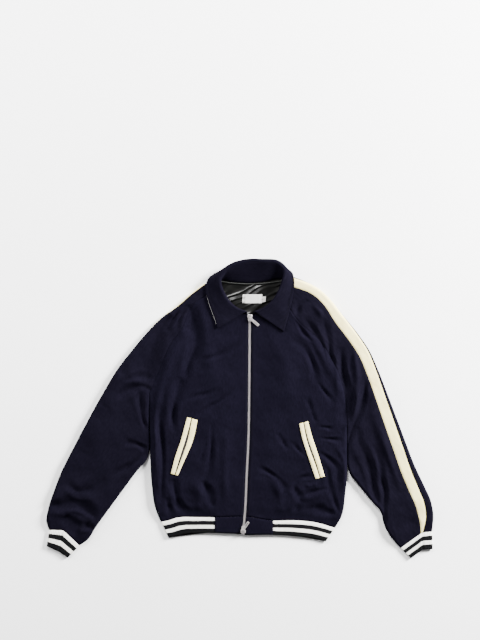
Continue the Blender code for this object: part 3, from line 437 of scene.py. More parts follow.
def drawMap(mesh, spots):
    # the cloth map: a place in metres for each corner of each face
    layer = mesh.uv_layers.new(name="clothMap")
    layer.data.foreach_set("uv", np.ascontiguousarray(spots, dtype=np.float32).ravel())


def turnOut(mesh, meet=None):
    # joins corners closer than a distance and turns the faces out
    shape = bmesh.new()
    shape.from_mesh(mesh)
    if meet:
        bmesh.ops.remove_doubles(shape, verts=shape.verts, dist=meet)
    bmesh.ops.recalc_face_normals(shape, faces=shape.faces)
    shape.to_mesh(mesh)
    shape.free()


def newPiece(name, mesh, finish, nodes=(), body="jacket"):
    # a piece with its finish, the body that it rides on and the plain solids that it stands for
    made = bpy.data.objects.new(name, mesh)
    mesh.materials.append(finishes[finish])
    look.objects.link(made)
    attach(made, body)
    if nodes:
        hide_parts(*nodes)
    return made


def clothPiece(name, nodes, finish, grid, wall=cloth["wall"], rim=0.0, up=True, outwards=False,
               ring=False, uv=None):
    # quads through a grid of points, facing up or down, and given a wall
    count, columns = grid.shape[:2]
    if uv is None:
        across = columnLengths(grid, 1)
        uv = np.dstack([across - across[:, columns // 2:columns // 2 + 1], columnLengths(grid, 0)]) * mm
    index = np.arange(count * columns).reshape(count, columns)
    if ring:
        index = np.hstack([index, index[:, :1]])
    before, after = slice(None, -1), slice(1, None)
    corners = [(before, before), (before, after), (after, after), (after, before)]
    quads = np.stack([index[c] for c in corners], axis=-1).reshape(-1, 4)
    spots = np.stack([uv[c] for c in corners], axis=-2).reshape(-1, 4, 2)
    points = grid.reshape(-1, 3)
    a, b, c = (points[quads[:, k]] for k in (0, 1, 3))
    normal = np.cross(b - a, c - a)
    middle = (points[:, 2].max() + points[:, 2].min()) / 2
    judged = (points[quads].mean(axis=1)[:, 2] >= middle - 1e-6) == up
    if (normal[judged, 2].sum() > 0) != up:
        quads, spots = quads[:, ::-1], spots[:, ::-1]
    mesh = newMesh(name, points, quads.tolist())
    drawMap(mesh, spots)
    made = newPiece(name, mesh, finish, nodes)
    thick = made.modifiers.new("thickness", "SOLIDIFY")
    thick.thickness = wall * mm
    thick.offset = 1.0 if outwards else -1.0
    if rim:
        soft = made.modifiers.new("softRim", "BEVEL")
        soft.width = rim * mm
        soft.segments = 2
        soft.limit_method = "ANGLE"
        soft.angle_limit = math.radians(50)
    return made


def closedTube(name, rings, finish, nodes=(), body="jacket"):
    # rings of points joined into a tube, closed with a cap at each end
    count, sides = rings.shape[:2]
    index = np.arange(count * sides).reshape(count, sides)
    after = np.roll(index, -1, axis=1)
    quads = np.stack([index[:-1], after[:-1], after[1:], index[1:]], axis=-1).reshape(-1, 4).tolist()
    mesh = newMesh(name, rings, quads + [index[0][::-1].tolist(), index[-1].tolist()])
    turnOut(mesh)
    vertex = np.zeros(len(mesh.loops), np.int32)
    mesh.loops.foreach_get("vertex_index", vertex)
    drawMap(mesh, np.column_stack([vertex % sides * 0.0006, vertex // sides * 0.0025]))
    return newPiece(name, mesh, finish, nodes, body)


def repeated(name, shape, centres, frames, finish, nodes=()):
    # copies one small shape to many places at once: each copy's corners are turned by its own frame
    corners, faces = shape
    copies = centres[:, None] + np.einsum("nij,kj->nki", frames, corners)
    start = np.arange(len(centres))[:, None, None] * len(corners)
    allFaces = []
    for size in dict.fromkeys(len(face) for face in faces):
        group = np.array([face for face in faces if len(face) == size])
        allFaces += (group[None] + start).reshape(-1, size).tolist()
    return newPiece(name, newMesh(name, copies, allFaces), finish, nodes)


# ---- finishes
def toLinear(code):
    # an sRGB hex colour as linear values
    parts = [int(code[k:k + 2], 16) / 255 for k in (1, 3, 5)]
    return tuple(v / 12.92 if v <= 0.04045 else ((v + 0.055) / 1.055) ** 2.4 for v in parts) + (1.0,)


def addNode(tree, kind, settings=None, **links):
    # adds one node: settings are its properties or input values, links join nodes or sockets to its inputs
    made = tree.nodes.new("ShaderNode" + kind)
    for key, value in (settings or {}).items():
        if hasattr(made, str(key)):
            setattr(made, key, value)
        else:
            made.inputs[key].default_value = value
    for key, source in links.items():
        place = int(key[1:]) if key[0] == "i" and key[1:].isdigit() else key
        tree.links.new(getattr(source, "outputs", [source])[0], made.inputs[place])
    return made


def newFinish(name, **values):
    # a principled material with its uniform values on the shader's own sockets
    finishes[name] = bpy.data.materials.new(name)
    finishes[name].use_nodes = True
    tree = finishes[name].node_tree
    shader = tree.nodes["Principled BSDF"]
    for key, value in values.items():
        shader.inputs[key.replace("_", " ")].default_value = value
    return tree, shader


def perMetre(size):
    # a noise's scale on coordinates in metres, for grains of this size in millimetres
    return 1000.0 / size


def twoTone(dark, light):
    # settings of a mix from a dark tone to a light one
    return {"data_type": "RGBA", 6: toLinear(dark), 7: toLinear(light)}


def surface(tree, shader, mixing, joined, strength, depth, height):
    # the shader's colour is a mix, and its relief a bump of a depth in millimetres
    mixed = addNode(tree, "Mix", mixing, **joined)
    tree.links.new(mixed.outputs[2], shader.inputs["Base Color"])
    bump = addNode(tree, "Bump", {"Strength": strength, "Distance": depth * mm}, Height=height)
    tree.links.new(bump.outputs[0], shader.inputs["Normal"])


def meltonFinish(name, dark, light, seed):
    # woollen melton: woven, then fulled and brushed until a short matt nap hides the weave
    tree, shader = newFinish(name, Roughness=0.95, Sheen_Weight=0.04, Sheen_Roughness=0.45,
                             Sheen_Tint=toLinear("#4a4a68"), Specular_IOR_Level=0.02)
    spot = addNode(tree, "Mapping", {"Location": (seed, seed * 0.7, 0)}, Vector=addNode(tree, "UVMap"))
    streak = addNode(tree, "Mapping", {"Scale": (1, 0.35, 1)}, Vector=spot)
    cloud = addNode(tree, "TexNoise", {"Scale": perMetre(70), "Detail": 3.0}, Vector=spot)
    nap = addNode(tree, "TexNoise", {"Scale": perMetre(4.5), "Detail": 5.0, "Roughness": 0.62}, Vector=streak)
    hair = addNode(tree, "TexNoise", {"Scale": perMetre(1.1), "Detail": 3.0, "Roughness": 0.7}, Vector=streak)
    both = addNode(tree, "Math", {"operation": "MULTIPLY_ADD", 1: 0.45}, i0=cloud, i2=nap)
    whole = addNode(tree, "Math", {"operation": "MULTIPLY_ADD", 1: 0.5}, i0=hair, i2=both)
    share = addNode(tree, "MapRange", {"From Min": 0.62, "From Max": 1.3}, Value=whole)
    fuzz = addNode(tree, "Math", {"operation": "MULTIPLY_ADD", 1: 0.6}, i0=hair, i2=nap)
    surface(tree, shader, twoTone(dark, light), {"i0": share}, 0.55, 0.6, fuzz)


def feltFinish(name, dark, light):
    # pressed wool felt: no weave, short crossing fibres and a few darker specks
    tree, shader = newFinish(name, Roughness=0.9, Sheen_Weight=0.12, Sheen_Roughness=0.5,
                             Specular_IOR_Level=0.2)
    place = addNode(tree, "UVMap")
    grain = {"Scale": perMetre(1.6), "Detail": 6.0, "Roughness": 0.7, "Distortion": 1.2}
    fibre = addNode(tree, "TexNoise", grain, Vector=place)
    cloud = addNode(tree, "TexNoise", {"Scale": perMetre(45), "Detail": 3.0}, Vector=place)
    both = addNode(tree, "Math", {"operation": "MULTIPLY_ADD", 1: 0.6}, i0=cloud, i2=fibre)
    share = addNode(tree, "MapRange", {"From Min": 0.5, "From Max": 1.05}, Value=both)
    surface(tree, shader, twoTone(dark, light), {"i0": share}, 0.5, 0.5, fibre)


def ribFinish(name):
    # 1x1 rib in acrylic-wool yarn, knitted in bands of two colours; the wales are in the mesh, and the
    # stitches' V shapes, 2.4 mm high, are drawn as bumps
    tree, shader = newFinish(name, Roughness=0.88, Sheen_Weight=0.02, Sheen_Roughness=0.5,
                             Specular_IOR_Level=0.04)
    place = addNode(tree, "UVMap")
    across, down = addNode(tree, "SeparateXYZ", Vector=place).outputs[:2]
    wobble = addNode(tree, "TexNoise", {"Scale": perMetre(2.2), "Detail": 2.0}, Vector=place)
    jitter = addNode(tree, "Math", {"operation": "MULTIPLY_ADD", 1: 1.6 * mm, 2: -0.8 * mm}, i0=wobble)
    row = addNode(tree, "Math", {"operation": "ADD"}, i0=down, i1=jitter)
    share = addNode(tree, "Math", {"operation": "DIVIDE", 1: rib["depth"] * mm}, i0=row)
    bands = addNode(tree, "ValToRGB", Fac=share)
    stops = bands.color_ramp
    stops.interpolation = "CONSTANT"
    stops.elements[1].position = rib["bands"][0]
    for start in rib["bands"][1:]:
        stops.elements.new(start)
    for number, element in enumerate(stops.elements):
        element.color = toLinear(rib["black" if number % 2 else "white"])
    grain = {"Scale": perMetre(1.4), "Detail": 4.0, "Roughness": 0.6}
    shade = addNode(tree, "TexNoise", grain, Vector=place)
    shading = {"From Min": 0.3, "From Max": 0.75, "To Min": 0.80, "To Max": 1.0}
    mottle = addNode(tree, "MapRange", shading, Value=shade)
    wale = addNode(tree, "Math", {"operation": "PINGPONG", 1: rib["wale"] * mm / 4}, i0=across)
    climb = addNode(tree, "Math", {"operation": "MULTIPLY_ADD", 1: 1.1}, i0=wale, i2=down)
    turn = addNode(tree, "Math", {"operation": "MULTIPLY", 1: 2 * math.pi / (rib["stitch"] * mm)}, i0=climb)
    wave = addNode(tree, "Math", {"operation": "SINE"}, i0=turn)
    fuzz = addNode(tree, "Math", {"operation": "MULTIPLY_ADD", 1: 0.9}, i0=shade, i2=wave)
    mixing = {"data_type": "RGBA", "blend_type": "MULTIPLY", 0: 1.0}
    surface(tree, shader, mixing, {"i6": bands, "i7": mottle}, 0.5, 0.4, fuzz)


def satinFinish(name, dark, light):
    # polyester satin: long floats give a smooth face with a strong soft gloss; faint twill lines 1 mm apart
    tree, shader = newFinish(name, Roughness=0.33, Specular_IOR_Level=0.25)
    place = addNode(tree, "UVMap")
    cloud = addNode(tree, "TexNoise", {"Scale": perMetre(18), "Detail": 4.0}, Vector=place)
    share = addNode(tree, "MapRange", {"From Min": 0.35, "From Max": 0.7}, Value=cloud)
    turned = addNode(tree, "Mapping", {"Rotation": (0, 0, math.radians(52))}, Vector=place)
    lines = {"Scale": perMetre(1.0) / (2 * math.pi), "Distortion": 0.6}
    twill = addNode(tree, "TexWave", lines, Vector=turned)
    surface(tree, shader, twoTone(dark, light), {"i0": share}, 0.12, 0.2, twill)


def wovenFinish(name, dark, light, thread, rough):
    # plain woven tape: warp and weft ribs, drawn at the given thread spacing in millimetres
    tree, shader = newFinish(name, Roughness=rough, Specular_IOR_Level=0.3)
    ribs = []
    for socket in addNode(tree, "SeparateXYZ", Vector=addNode(tree, "UVMap")).outputs[:2]:
        turn = addNode(tree, "Math", {"operation": "MULTIPLY", 1: 2 * math.pi / (thread * mm)}, i0=socket)
        ribs.append(addNode(tree, "Math", {"operation": "SINE"}, i0=turn))
    weave = addNode(tree, "Math", {"operation": "MULTIPLY"}, i0=ribs[0], i1=ribs[1])
    share = addNode(tree, "MapRange", {"From Min": -1.0, "From Max": 1.0}, Value=weave)
    surface(tree, shader, twoTone(dark, light), {"i0": share}, 0.35, 0.2, weave)


def metalFinish(name, colour, rough):
    # die-cast and nickel-plated: bright, with a soft polish and faint handling marks
    tree, shader = newFinish(name, Base_Color=toLinear(colour), Metallic=1.0)
    place = addNode(tree, "TexCoord").outputs["Object"]
    marks = addNode(tree, "TexNoise", {"Scale": perMetre(2.5), "Detail": 5.0}, Vector=place)
    polish = {"From Min": 0.3, "From Max": 0.75, "To Min": rough - 0.08, "To Max": rough + 0.12}
    blur = addNode(tree, "MapRange", polish, Value=marks)
    tree.links.new(blur.outputs[0], shader.inputs["Roughness"])
    bump = addNode(tree, "Bump", {"Strength": 0.05, "Distance": 0.1 * mm}, Height=marks)
    tree.links.new(bump.outputs[0], shader.inputs["Normal"])


def threadFinish(name, dark, light, gloss=0.4):
    # twisted polyester sewing thread with a slight shine; the twist is drawn 1 mm apart so that it shows
    tree, shader = newFinish(name, Roughness=0.6, Specular_IOR_Level=gloss)
    place = addNode(tree, "TexCoord").outputs["Object"]
    twist = addNode(tree, "TexNoise", {"Scale": perMetre(1.0), "Detail": 2.0}, Vector=place)
    share = addNode(tree, "MapRange", {"From Min": 0.35, "From Max": 0.65}, Value=twist)
    surface(tree, shader, twoTone(dark, light), {"i0": share}, 0.3, 0.2, twist)


rib = {
    "wall": 2.0, "rim": 0.5, "roll": 4.6, "edge": 3.4,  # edge is the height of the fold's widest line
    "depth": 42.0,  # from the seam to the folded edge
    "bands": (0.222, 0.492, 0.707),  # where white gives way to black, white and black again
    "wale": 3.6, "steps": 6, "stitch": 2.4, "relief": 0.42,
    "seamReach": 2.5, "edgeReach": 1.3,  # how far the seam and the lower edge pull in
    "white": "#eceae3", "black": "#08080a",
}
meltonFinish("meltonFront", "#040309", "#0b0913", 0.0)
meltonFinish("meltonSleeve", "#040309", "#0b0912", 0.31)
feltFinish("creamFelt", "#d3c380", "#eade9d")
ribFinish("ribKnit")
satinFinish("blackSatin", "#020202", "#050504")
wovenFinish("greyPiping", "#121312", "#20211f", 0.9, 0.5)
wovenFinish("whiteLabel", "#a3a19d", "#b4b2ae", 0.8, 0.6)
wovenFinish("zipTape", "#0c0e18", "#1b1e2c", 1.2, 0.85)
wovenFinish("pocketLining", "#0b0b10", "#1a1715", 1.1, 0.7)
metalFinish("nickelPlate", "#d0c9ca", 0.36)
threadFinish("navyThread", "#030306", "#08070d", 0.04)
threadFinish("creamThread", "#d9d1b8", "#ece5cf")
threadFinish("whiteThread", "#dcdbd6", "#f2f1ee")
print("finishes ready:", len(finishes))


# ---- the body: a back and two fronts
front = {
    "zipGap": 4.4, "zipRow": 12,  # half the slot over the zip, and the row of its upper end
    "underarmShare": 0.58, "neckShare": 0.94,  # of the zip's edge up to the underarm, and of the neck line
    "columns": 64, "crowding": 0.5,
    "zipDrop": 1.9, "neckDrop": 1.0, "dropReach": 2.2,  # the turned edge beside the zip and the collar
}
back = {"columns": 84, "neckSag": 3.5}


def bodyEnds(r, side):
    # the body's outer line: the underarm, the raglan seam, then the side of the neck
    return rowEnds(r, [(0, rows["underarm"], cut[side]["side"], 0.006, 1),
                       (rows["underarm"], rows["neck"], cut[side]["raglan"], 0, 1),
                       (rows["neck"], rows["back"], cut[side]["neckSide"], 0, 1)])


def hemY(x, lines):
    # y of the hem's lines at each x
    points = np.vstack([smoothLine(line) for line in lines])
    points = points[np.argsort(points[:, 0])]
    return np.interp(x, points[:, 0], points[:, 1])


def hemBend(r, left, right, seams):
    # lays the lowest row on the hem's seam, fading over the four rows above it
    fade = smoothStep(1 - r / 4)[:, None]

    def bend(share):
        x = left[0, 0] + (right[0, 0] - left[0, 0]) * share
        chord = left[0, 1] + (right[0, 1] - left[0, 1]) * share
        rise = (hemY(x, seams) + 0.1 - chord) * fade
        return np.stack([0 * rise, rise], axis=-1)

    return bend


def makeFront(side):
    # each row runs from the side to the zip: a folded edge that opens into a seam above the underarm, then
    # cloth at its own height, with bells taken off along its edges
    lines = cut[side]
    r = np.linspace(0, rows["neck"], rows["neck"] * rows["steps"] + 1)
    # the edge beside the zip, from the hem's seam to the neck
    edge = smoothLine(zipLine[::-1])
    edge = edge[(edge[:, 1] > lines["hemSeam"][-1][1]) & (edge[:, 1] < zipLine[0][1] - 3)]
    edge = along(edge + [signs[side] * front["zipGap"], 0], np.linspace(0, 1, 12))
    underarm, zipRow = rows["underarm"], front["zipRow"]
    left = bodyEnds(r, side)
    share = front["underarmShare"]
    right = rowEnds(r, [(0, underarm, edge, 0.004, share), (underarm, zipRow, edge, share, 1),
                        (zipRow, rows["neck"], lines["neck"], 0, front["neckShare"])])
    crease = np.clip((underarm - r) / 2, 0, 1)
    bend = hemBend(r, left, right, [lines["hemSeam"]])
    folded = edgePoints(left, right, foldLengths(crease), crease[:, None], bend)
    width = np.linalg.norm(right - left, axis=1)[:, None]
    first = rollSpan(width)
    level = crowded(front["columns"], front["crowding"])[None, 1:]
    share = (first + (width - cloth["seamInset"] - first) * level) / width
    grid = np.hstack([folded, onCloth(placed(left, right, share, bend))])
    # the edge beside the zip turns down; every other edge dips into its seam
    toZip = (1 - share) * width
    drop = np.where(r[:, None] <= zipRow + 0.5, front["zipDrop"], front["neckDrop"])
    fall = np.hstack([0 * folded[..., 0], drop * bell(toZip, front["dropReach"])])
    toRaglan = columnLengths(folded, 1)
    toRaglan = np.hstack([toRaglan, toRaglan[:, -1:] + toZip[:, :1] - toZip])
    fall += seamFall(toRaglan) * (1 - crease[:, None])
    fall += seamFall(columnLengths(grid, 0)) * ramp(grid[..., 2], 0, 4)
    grid[..., 2] -= fall
    clothPiece(f"front{side.capitalize()}", [f"front_{side}"], "meltonFront", grid)
    return grid


def underFolds(x, y):
    # the cloth that lies on the surface: flat, with shallow creases pressed into it from below
    lines = [
        (1.3, 12, [(-190, 250), (-150, 120), (-160, -20)]), (1.2, 11, [(230, 230), (200, 120), (215, -40)]),
        (1.1, 10, [(-60, 200), (10, 120), (90, 170)]), (1.2, 12, [(-140, -150), (-90, -230), (-120, -290)]),
        (1.1, 11, [(160, -160), (120, -230), (150, -290)]), (1.0, 10, [(-20, 40), (60, -30), (150, 10)]),
        (1.2, 12, [(-330, 80), (-370, -20), (-410, -120)]), (1.2, 11, [(350, 60), (380, -60), (430, -170)]),
        (1.1, 10, [(-490, -250), (-440, -262), (-390, -290)]),
        (1.1, 10, [(500, -250), (450, -270), (400, -300)]),
    ]
    return np.maximum(addFolds(x, y, lines) + 0.15 * (1 + waves(x, y, 110, 8)), 0.02)


def makeBack():
    # each row runs from side to side over the surface, set in beneath the fronts' folded edges
    r = np.linspace(0, rows["back"], rows["back"] * rows["backSteps"] + 1)
    ends = [bodyEnds(r, side) for side in cut]
    beneath = cloth["floorRoll"] + cloth["tuck"] + cloth["underGap"]
    inset = np.where(r < rows["underarm"] - 0.5, beneath, 0.3)
    hem = hemBend(r, ends[0], ends[1], [cut[side]["hemSeam"] for side in cut])
    sag = np.clip(r - rows["neck"], 0, 2)[:, None] * back["neckSag"]

    def bend(share):
        # the hem's bend, less a sine that lets the back neck sag
        return hem(share) - np.stack([0 * share, sag * np.sin(math.pi * share)], axis=-1)

    width = np.linalg.norm(ends[1] - ends[0], axis=1)
    share = (inset / width)[:, None] + (1 - 2 * inset / width)[:, None] * np.linspace(0, 1, back["columns"])
    flat = placed(ends[0], ends[1], share, bend)
    grid = np.dstack([flat, underFolds(flat[..., 0], flat[..., 1])])
    clothPiece("backPanel", ["back"], "meltonFront", grid, up=False)


makeBack()
frontGrids = {side: makeFront(side) for side in cut}
print("body ready")

# ---- sleeves: a front, an inset felt stripe and a back that lies beneath
sleeve = {
    "columns": 40, "outerColumns": 15, "stripeColumns": 26, "turnedColumns": 14, "backColumns": 30,
    "seam": 0.12,  # half the distance between two seam edges
    "cuffRow": 12,  # from here the rows bend to the cuff's crease
    "rounding": 0.035,  # half the stretch that rounds the stripe's corners
    "stripeWall": 2.2,
}


def creaseShare(outerEnd, crease, innerEnd):
    # how far along its bent row the crease is
    first = math.dist(outerEnd, crease)
    return first / (first + math.dist(crease, innerEnd))


def makeSleeve(side):
    # each row runs from the outer edge to the underarm, folded at both; lengths over the outer fold part it
    # into the front, the stripe and the back
    lines, title = cut[side], side.capitalize()
    armpit, last, shoulder = rows["armpit"], rows["neck"], lines["shoulder"]
    r = np.linspace(0, last, last * (rows["steps"] + 1) + 1)
    out = rowEnds(r, [(0, armpit, lines["outer"], 0, shoulder), (armpit, last, lines["outer"], shoulder, 1)])
    inn = rowEnds(r, [(0, armpit, lines["raglan"], 1, 0), (armpit, last, lines["inner"], 0, 1)])
    outerShare = np.interp(r, [0, armpit, last], [0, shoulder, 1])
    crease = np.clip((r - armpit) / 2, 0, 1)
    table = np.array(lines["stripe"], float)
    spread = outerShare + np.linspace(-sleeve["rounding"], sleeve["rounding"], 7)[:, None]
    frontSeam, backSeam = (np.interp(spread, table[:, 0], table[:, k]).mean(axis=0) for k in (1, 2))
    fade = np.clip((r - sleeve["cuffRow"]) / (last - sleeve["cuffRow"]), 0, 1)[:, None] ** 2
    peak = creaseShare(*lines["cuff"][0])
    away = np.array(lines["cuff"][0][1], float) - (out[-1] + (inn[-1] - out[-1]) * peak)

    def bendAt(top):
        # the cuff's crease as a rounded tent that grows with the square of the way to the cuff
        return lambda share: (fade * roundedTent(share, top))[..., None] * away

    bend = bendAt(peak)
    width = np.linalg.norm(inn - out, axis=1)
    span = rollSpan(width)

    def across(start, end, shares):
        # lengths between each row's start and end
        return start[:, None] + (end - start)[:, None] * shares[None]

    start = frontSeam + sleeve["seam"]
    outer = across(start, np.maximum(cloth["topArc"], start + 2), np.linspace(0, 1, sleeve["outerColumns"]))
    foldedOut = edgePoints(out, inn, outer, 1.0, bend)
    foldedIn = edgePoints(inn, out, foldLengths(crease), crease[:, None], bendAt(1 - peak))
    first = roll(outer[:, -1], span)[0]
    share = across(first, width - span, crowded(sleeve["columns"], 0.4)[1:-1]) / width[:, None]
    grid = np.hstack([foldedOut, onCloth(placed(out, inn, share, bend)), foldedIn[:, ::-1]])
    # the cloth dips at its seams, but not where it is turned beneath
    lengths, down = columnLengths(grid, 1), columnLengths(grid, 0)
    above = ramp(grid[..., 2], 2, 3)
    fall = seamFall(lengths) * above + seamFall(lengths[:, -1:] - lengths) * (1 - crease[:, None])
    grid[..., 2] -= fall + seamFall(down[-1:] - down) * above
    clothPiece(f"sleeve{title}Front", [f"sleeve_{side}_front"], "meltonSleeve", grid)

    high, low = frontSeam - sleeve["seam"], backSeam + sleeve["seam"]
    grid = edgePoints(out, inn, across(high, low, crowded(sleeve["stripeColumns"], 0.6)), 1.0, bend)
    lengths = columnLengths(grid, 1)
    dip = seamFall(lengths) + seamFall(lengths[:, -1:] - lengths)
    grid[..., 2] -= dip * ramp(grid[..., 2], 2, 3)
    showing = frontSeam.max() >= cloth["topArc"]
    clothPiece(f"sleeve{title}Stripe", [f"sleeve_{side}_stripe"], "creamFelt", grid,
               wall=sleeve["stripeWall"], up=showing)

    high, low = backSeam - sleeve["seam"], np.minimum(backSeam - 3, -cloth["floorArc"] - 2)
    turned = across(high, low, np.linspace(0, 1, sleeve["turnedColumns"]))
    folded = edgePoints(out, inn, turned, 1.0, bend)
    first = roll(turned[:, -1], span)[0]
    inset = np.where(crease > 0.5, cloth["floorRoll"] + cloth["tuck"] + cloth["underGap"], 0.3)
    t = np.linspace(0, 1, sleeve["backColumns"])[1:]
    flat = placed(out, inn, across(first, width - inset, t) / width[:, None], bend)
    under = underFolds(flat[..., 0], flat[..., 1]) * np.minimum(1, t * 6)
    clothPiece(f"sleeve{title}Back", [f"sleeve_{side}_back"], "meltonSleeve",
               np.hstack([folded, np.dstack([flat, under])]), up=False)


for side in cut:
    makeSleeve(side)
print("sleeves ready")


# ---- ribs: wales run from the seam to the edge, raised along the surface's normal
cuff = {
    "rows": 15, "middle": 3.6,
    "squeeze": (0.16, 0.35),  # shares of its height that are pulled in at the seam and at the edge
    "buckle": (0.9, 2.2), "buckleReach": (9.0, 3.5),  # it swells where it is bent, with a sharp dent
}
hem = {
    "rows": 13, "sideColumns": 16, "sag": 21.0,
    "squeeze": (0.9, 1.6), "uneven": (0.45, 70, 21),
}
band = {
    "columns": 26, "rows": 22, "width": 75.0, "depth": 48.0, "gap": 0.1, "rim": 0.5,
    "edgeDrop": 2.6, "edgeReach": 2.0, "zipDrop": 1.6, "ribDrop": 1.4, "ribReach": 2.2,
    "uneven": (0.3, 45, 31),
}


def ribSheet(name, node, grid, down, ring=False):
    # a rounded wale every few millimetres of the length across, with the knit drawn to the same lengths
    columns = grid.shape[1]
    u = np.arange(columns + ring) / rib["steps"] * rib["wale"]
    d = np.roll(grid, -1, 1) - np.roll(grid, 1, 1)
    if not ring:
        d[:, 0], d[:, -1] = d[:, 1], d[:, -2]
    normal = unit(np.cross(d, np.gradient(grid, axis=0)))
    wale = np.cos(u[:columns] * 2 * math.pi / rib["wale"])
    grid = grid + normal * (rib["relief"] * (np.abs(wale) ** 0.7 * np.sign(wale)))[:, None]
    grid[..., 2] = np.maximum(grid[..., 2], 0.02)
    uv = np.dstack(np.meshgrid(u, down * rib["depth"])) * mm
    clothPiece(name, [node], "ribKnit", grid, wall=rib["wall"], ring=ring, uv=uv, rim=rib["rim"])


def ribEdges(down, seam, edge):
    # how much the seam and the folded lower edge pull the knit in
    fromSeam, fromEdge = down * rib["depth"], (1 - down) * rib["depth"]
    return seam * bell(fromSeam, rib["seamReach"]) + edge * bell(fromEdge, rib["edgeReach"])


def ribSide(steps):
    # a tube's rounded side: distance from its outer edge, height above its widest line and height below it
    q = np.linspace(0, math.pi / 2, steps)
    rise = rib["edge"] + (cloth["ribTop"] - rib["edge"]) * np.sin(q)
    return rib["roll"] * (1 - np.cos(q)), rise, rib["edge"] * (1 - np.sin(q))


def makeCuff(side):
    # a flattened tube's section carried from the seam to the edge and bent over its crease like a tent
    upper, lower = (np.array(line, float) for line in cut[side]["cuff"])
    t = np.linspace(0.004, 1, cuff["rows"])[:, None]
    out, crease, inn = (upper[k] + (lower[k] - upper[k]) * t for k in range(3))
    peak = creaseShare(*upper)
    away = crease - (out + (inn - out) * peak)
    wide = np.linalg.norm(inn - out, axis=1).mean()
    wales = int(round((2 * wide + 4) / rib["wale"]))
    # a lying tube's section, evenly spaced along its length
    edge, rise, fall = ribSide(24)
    x = np.r_[edge, wide - edge[::-1], wide - edge[1:], edge[::-1][:-1]]
    z = np.r_[rise, rise[::-1], fall[1:], fall[::-1][:-1]]
    line = np.stack([np.r_[x, x[0]], np.r_[z, z[0]]], axis=1)
    section = along(line, np.arange(wales * rib["steps"]) / (wales * rib["steps"]))
    share = np.repeat(section[None, :, 0] / wide, cuff["rows"], axis=0)
    flat = out[:, None] + (inn - out)[:, None] * share[..., None]
    flat = flat + away[:, None] * roundedTent(share, peak)[..., None]
    grid = np.dstack([flat, np.repeat(section[None, :, 1], cuff["rows"], axis=0)])
    # the cloth buckles where it is bent
    fromPeak = (share - peak) * wide
    near = bell(fromPeak, cuff["buckleReach"][0]) * (grid[..., 2] > rib["edge"])
    buckle = cuff["buckle"][0] - cuff["buckle"][1] * bell(fromPeak, cuff["buckleReach"][1])
    grid[..., 2] += near * buckle * (0.5 + 0.5 * t)
    squeeze = 1 - ribEdges(t, *cuff["squeeze"])
    grid[..., 2] = cuff["middle"] + (grid[..., 2] - cuff["middle"]) * squeeze
    ribSheet(f"cuff{side.capitalize()}", f"cuff_{side}", grid, t, ring=True)


def hemArm(side):
    # half of the hem rib's top: from the floor round its side to the band
    seam, edge, end = (cut[side][key] for key in ("hemSeam", "hemEdge", "bandEnd"))
    span = abs(end - seam[0][0]) - band["gap"]
    x, rise, fall = ribSide(hem["sideColumns"])
    section = np.stack([np.r_[x[::-1], x[1:], span], np.r_[fall[::-1], rise[1:], cloth["ribTop"]]], axis=1)
    count = int(round(lineLength(section) / rib["wale"] * rib["steps"]))
    section = along(section, np.linspace(0, 1, count + 1))
    lines = []
    for line in (seam, edge):
        x = line[0][0] - signs[side] * section[:, 0] * (abs(end - line[0][0]) - band["gap"]) / span
        lines.append(np.stack([x, hemY(x, [line])], axis=1))
    flat = lines[0][None] + (lines[1] - lines[0])[None] * np.linspace(0.003, 1, hem["rows"])[:, None, None]
    return np.dstack([flat, np.broadcast_to(section[:, 1], flat.shape[:2])])


def makeHem():
    # the two arms of its top, joined beneath the jacket by straight rows that sag as a sine
    right, left = (hemArm(side) for side in cut)
    a, b = right[:, :1], left[:, :1]
    count = int(round(np.linalg.norm((b - a)[0, 0]) / rib["wale"] * rib["steps"]))
    t = np.linspace(0, 1, count + 1)[None, 1:-1, None]
    beneath = a + (b - a) * t
    beneath[..., 1] += hem["sag"] * np.sin(math.pi * t[..., 0])
    grid = np.hstack([right[:, ::-1], beneath, left])
    down = np.linspace(0, 1, hem["rows"])[:, None]
    grid[..., 2] -= ribEdges(down, *hem["squeeze"]) * ramp(grid[..., 2], 3, 2)
    height, length, seed = hem["uneven"]
    top = ramp(grid[..., 2], 4, 2)
    grid[..., 2] += top * height * waves(grid[..., 0], grid[..., 1], length, seed)
    ribSheet("hemRib", "hem_rib", grid, down)


def makeBand(side):
    # the melton block between the rib and the zip: folded at its lower edge and beside the zip
    lines, offset = cut[side], signs[side] * front["zipGap"]
    share = crowded(band["columns"], 0.5)
    t = np.linspace(-0.002, 1, band["rows"])[:, None]
    first = lines["bandEnd"] - signs[side] * band["gap"]

    def xAt(y):
        # shares of the way from the rib to the zip
        return first + (zipX(y) + offset - first) * share

    high, low = (hemY(xAt(line[-1][1]), [line]) for line in (lines["hemSeam"], lines["hemEdge"]))
    y = high + (low - high) * t
    x = xAt(y)
    height, length, seed = band["uneven"]
    grid = np.dstack([x, y, cloth["bandTop"] + height * waves(x, y, length, seed)])
    fall = seamFall(t * band["depth"]) + band["edgeDrop"] * bell((1 - t) * band["depth"], band["edgeReach"])
    fall = fall + band["zipDrop"] * bell((1 - share) * band["width"], band["edgeReach"])
    grid[..., 2] -= fall + band["ribDrop"] * bell(share * band["width"], band["ribReach"])
    clothPiece(f"hemBand{side.capitalize()}", [f"hem_band_{side}"], "meltonFront", grid,
               rim=band["rim"])
    return grid


for side in cut:
    makeCuff(side)
makeHem()
bandGrids = {side: makeBand(side) for side in cut}
print("ribs ready")


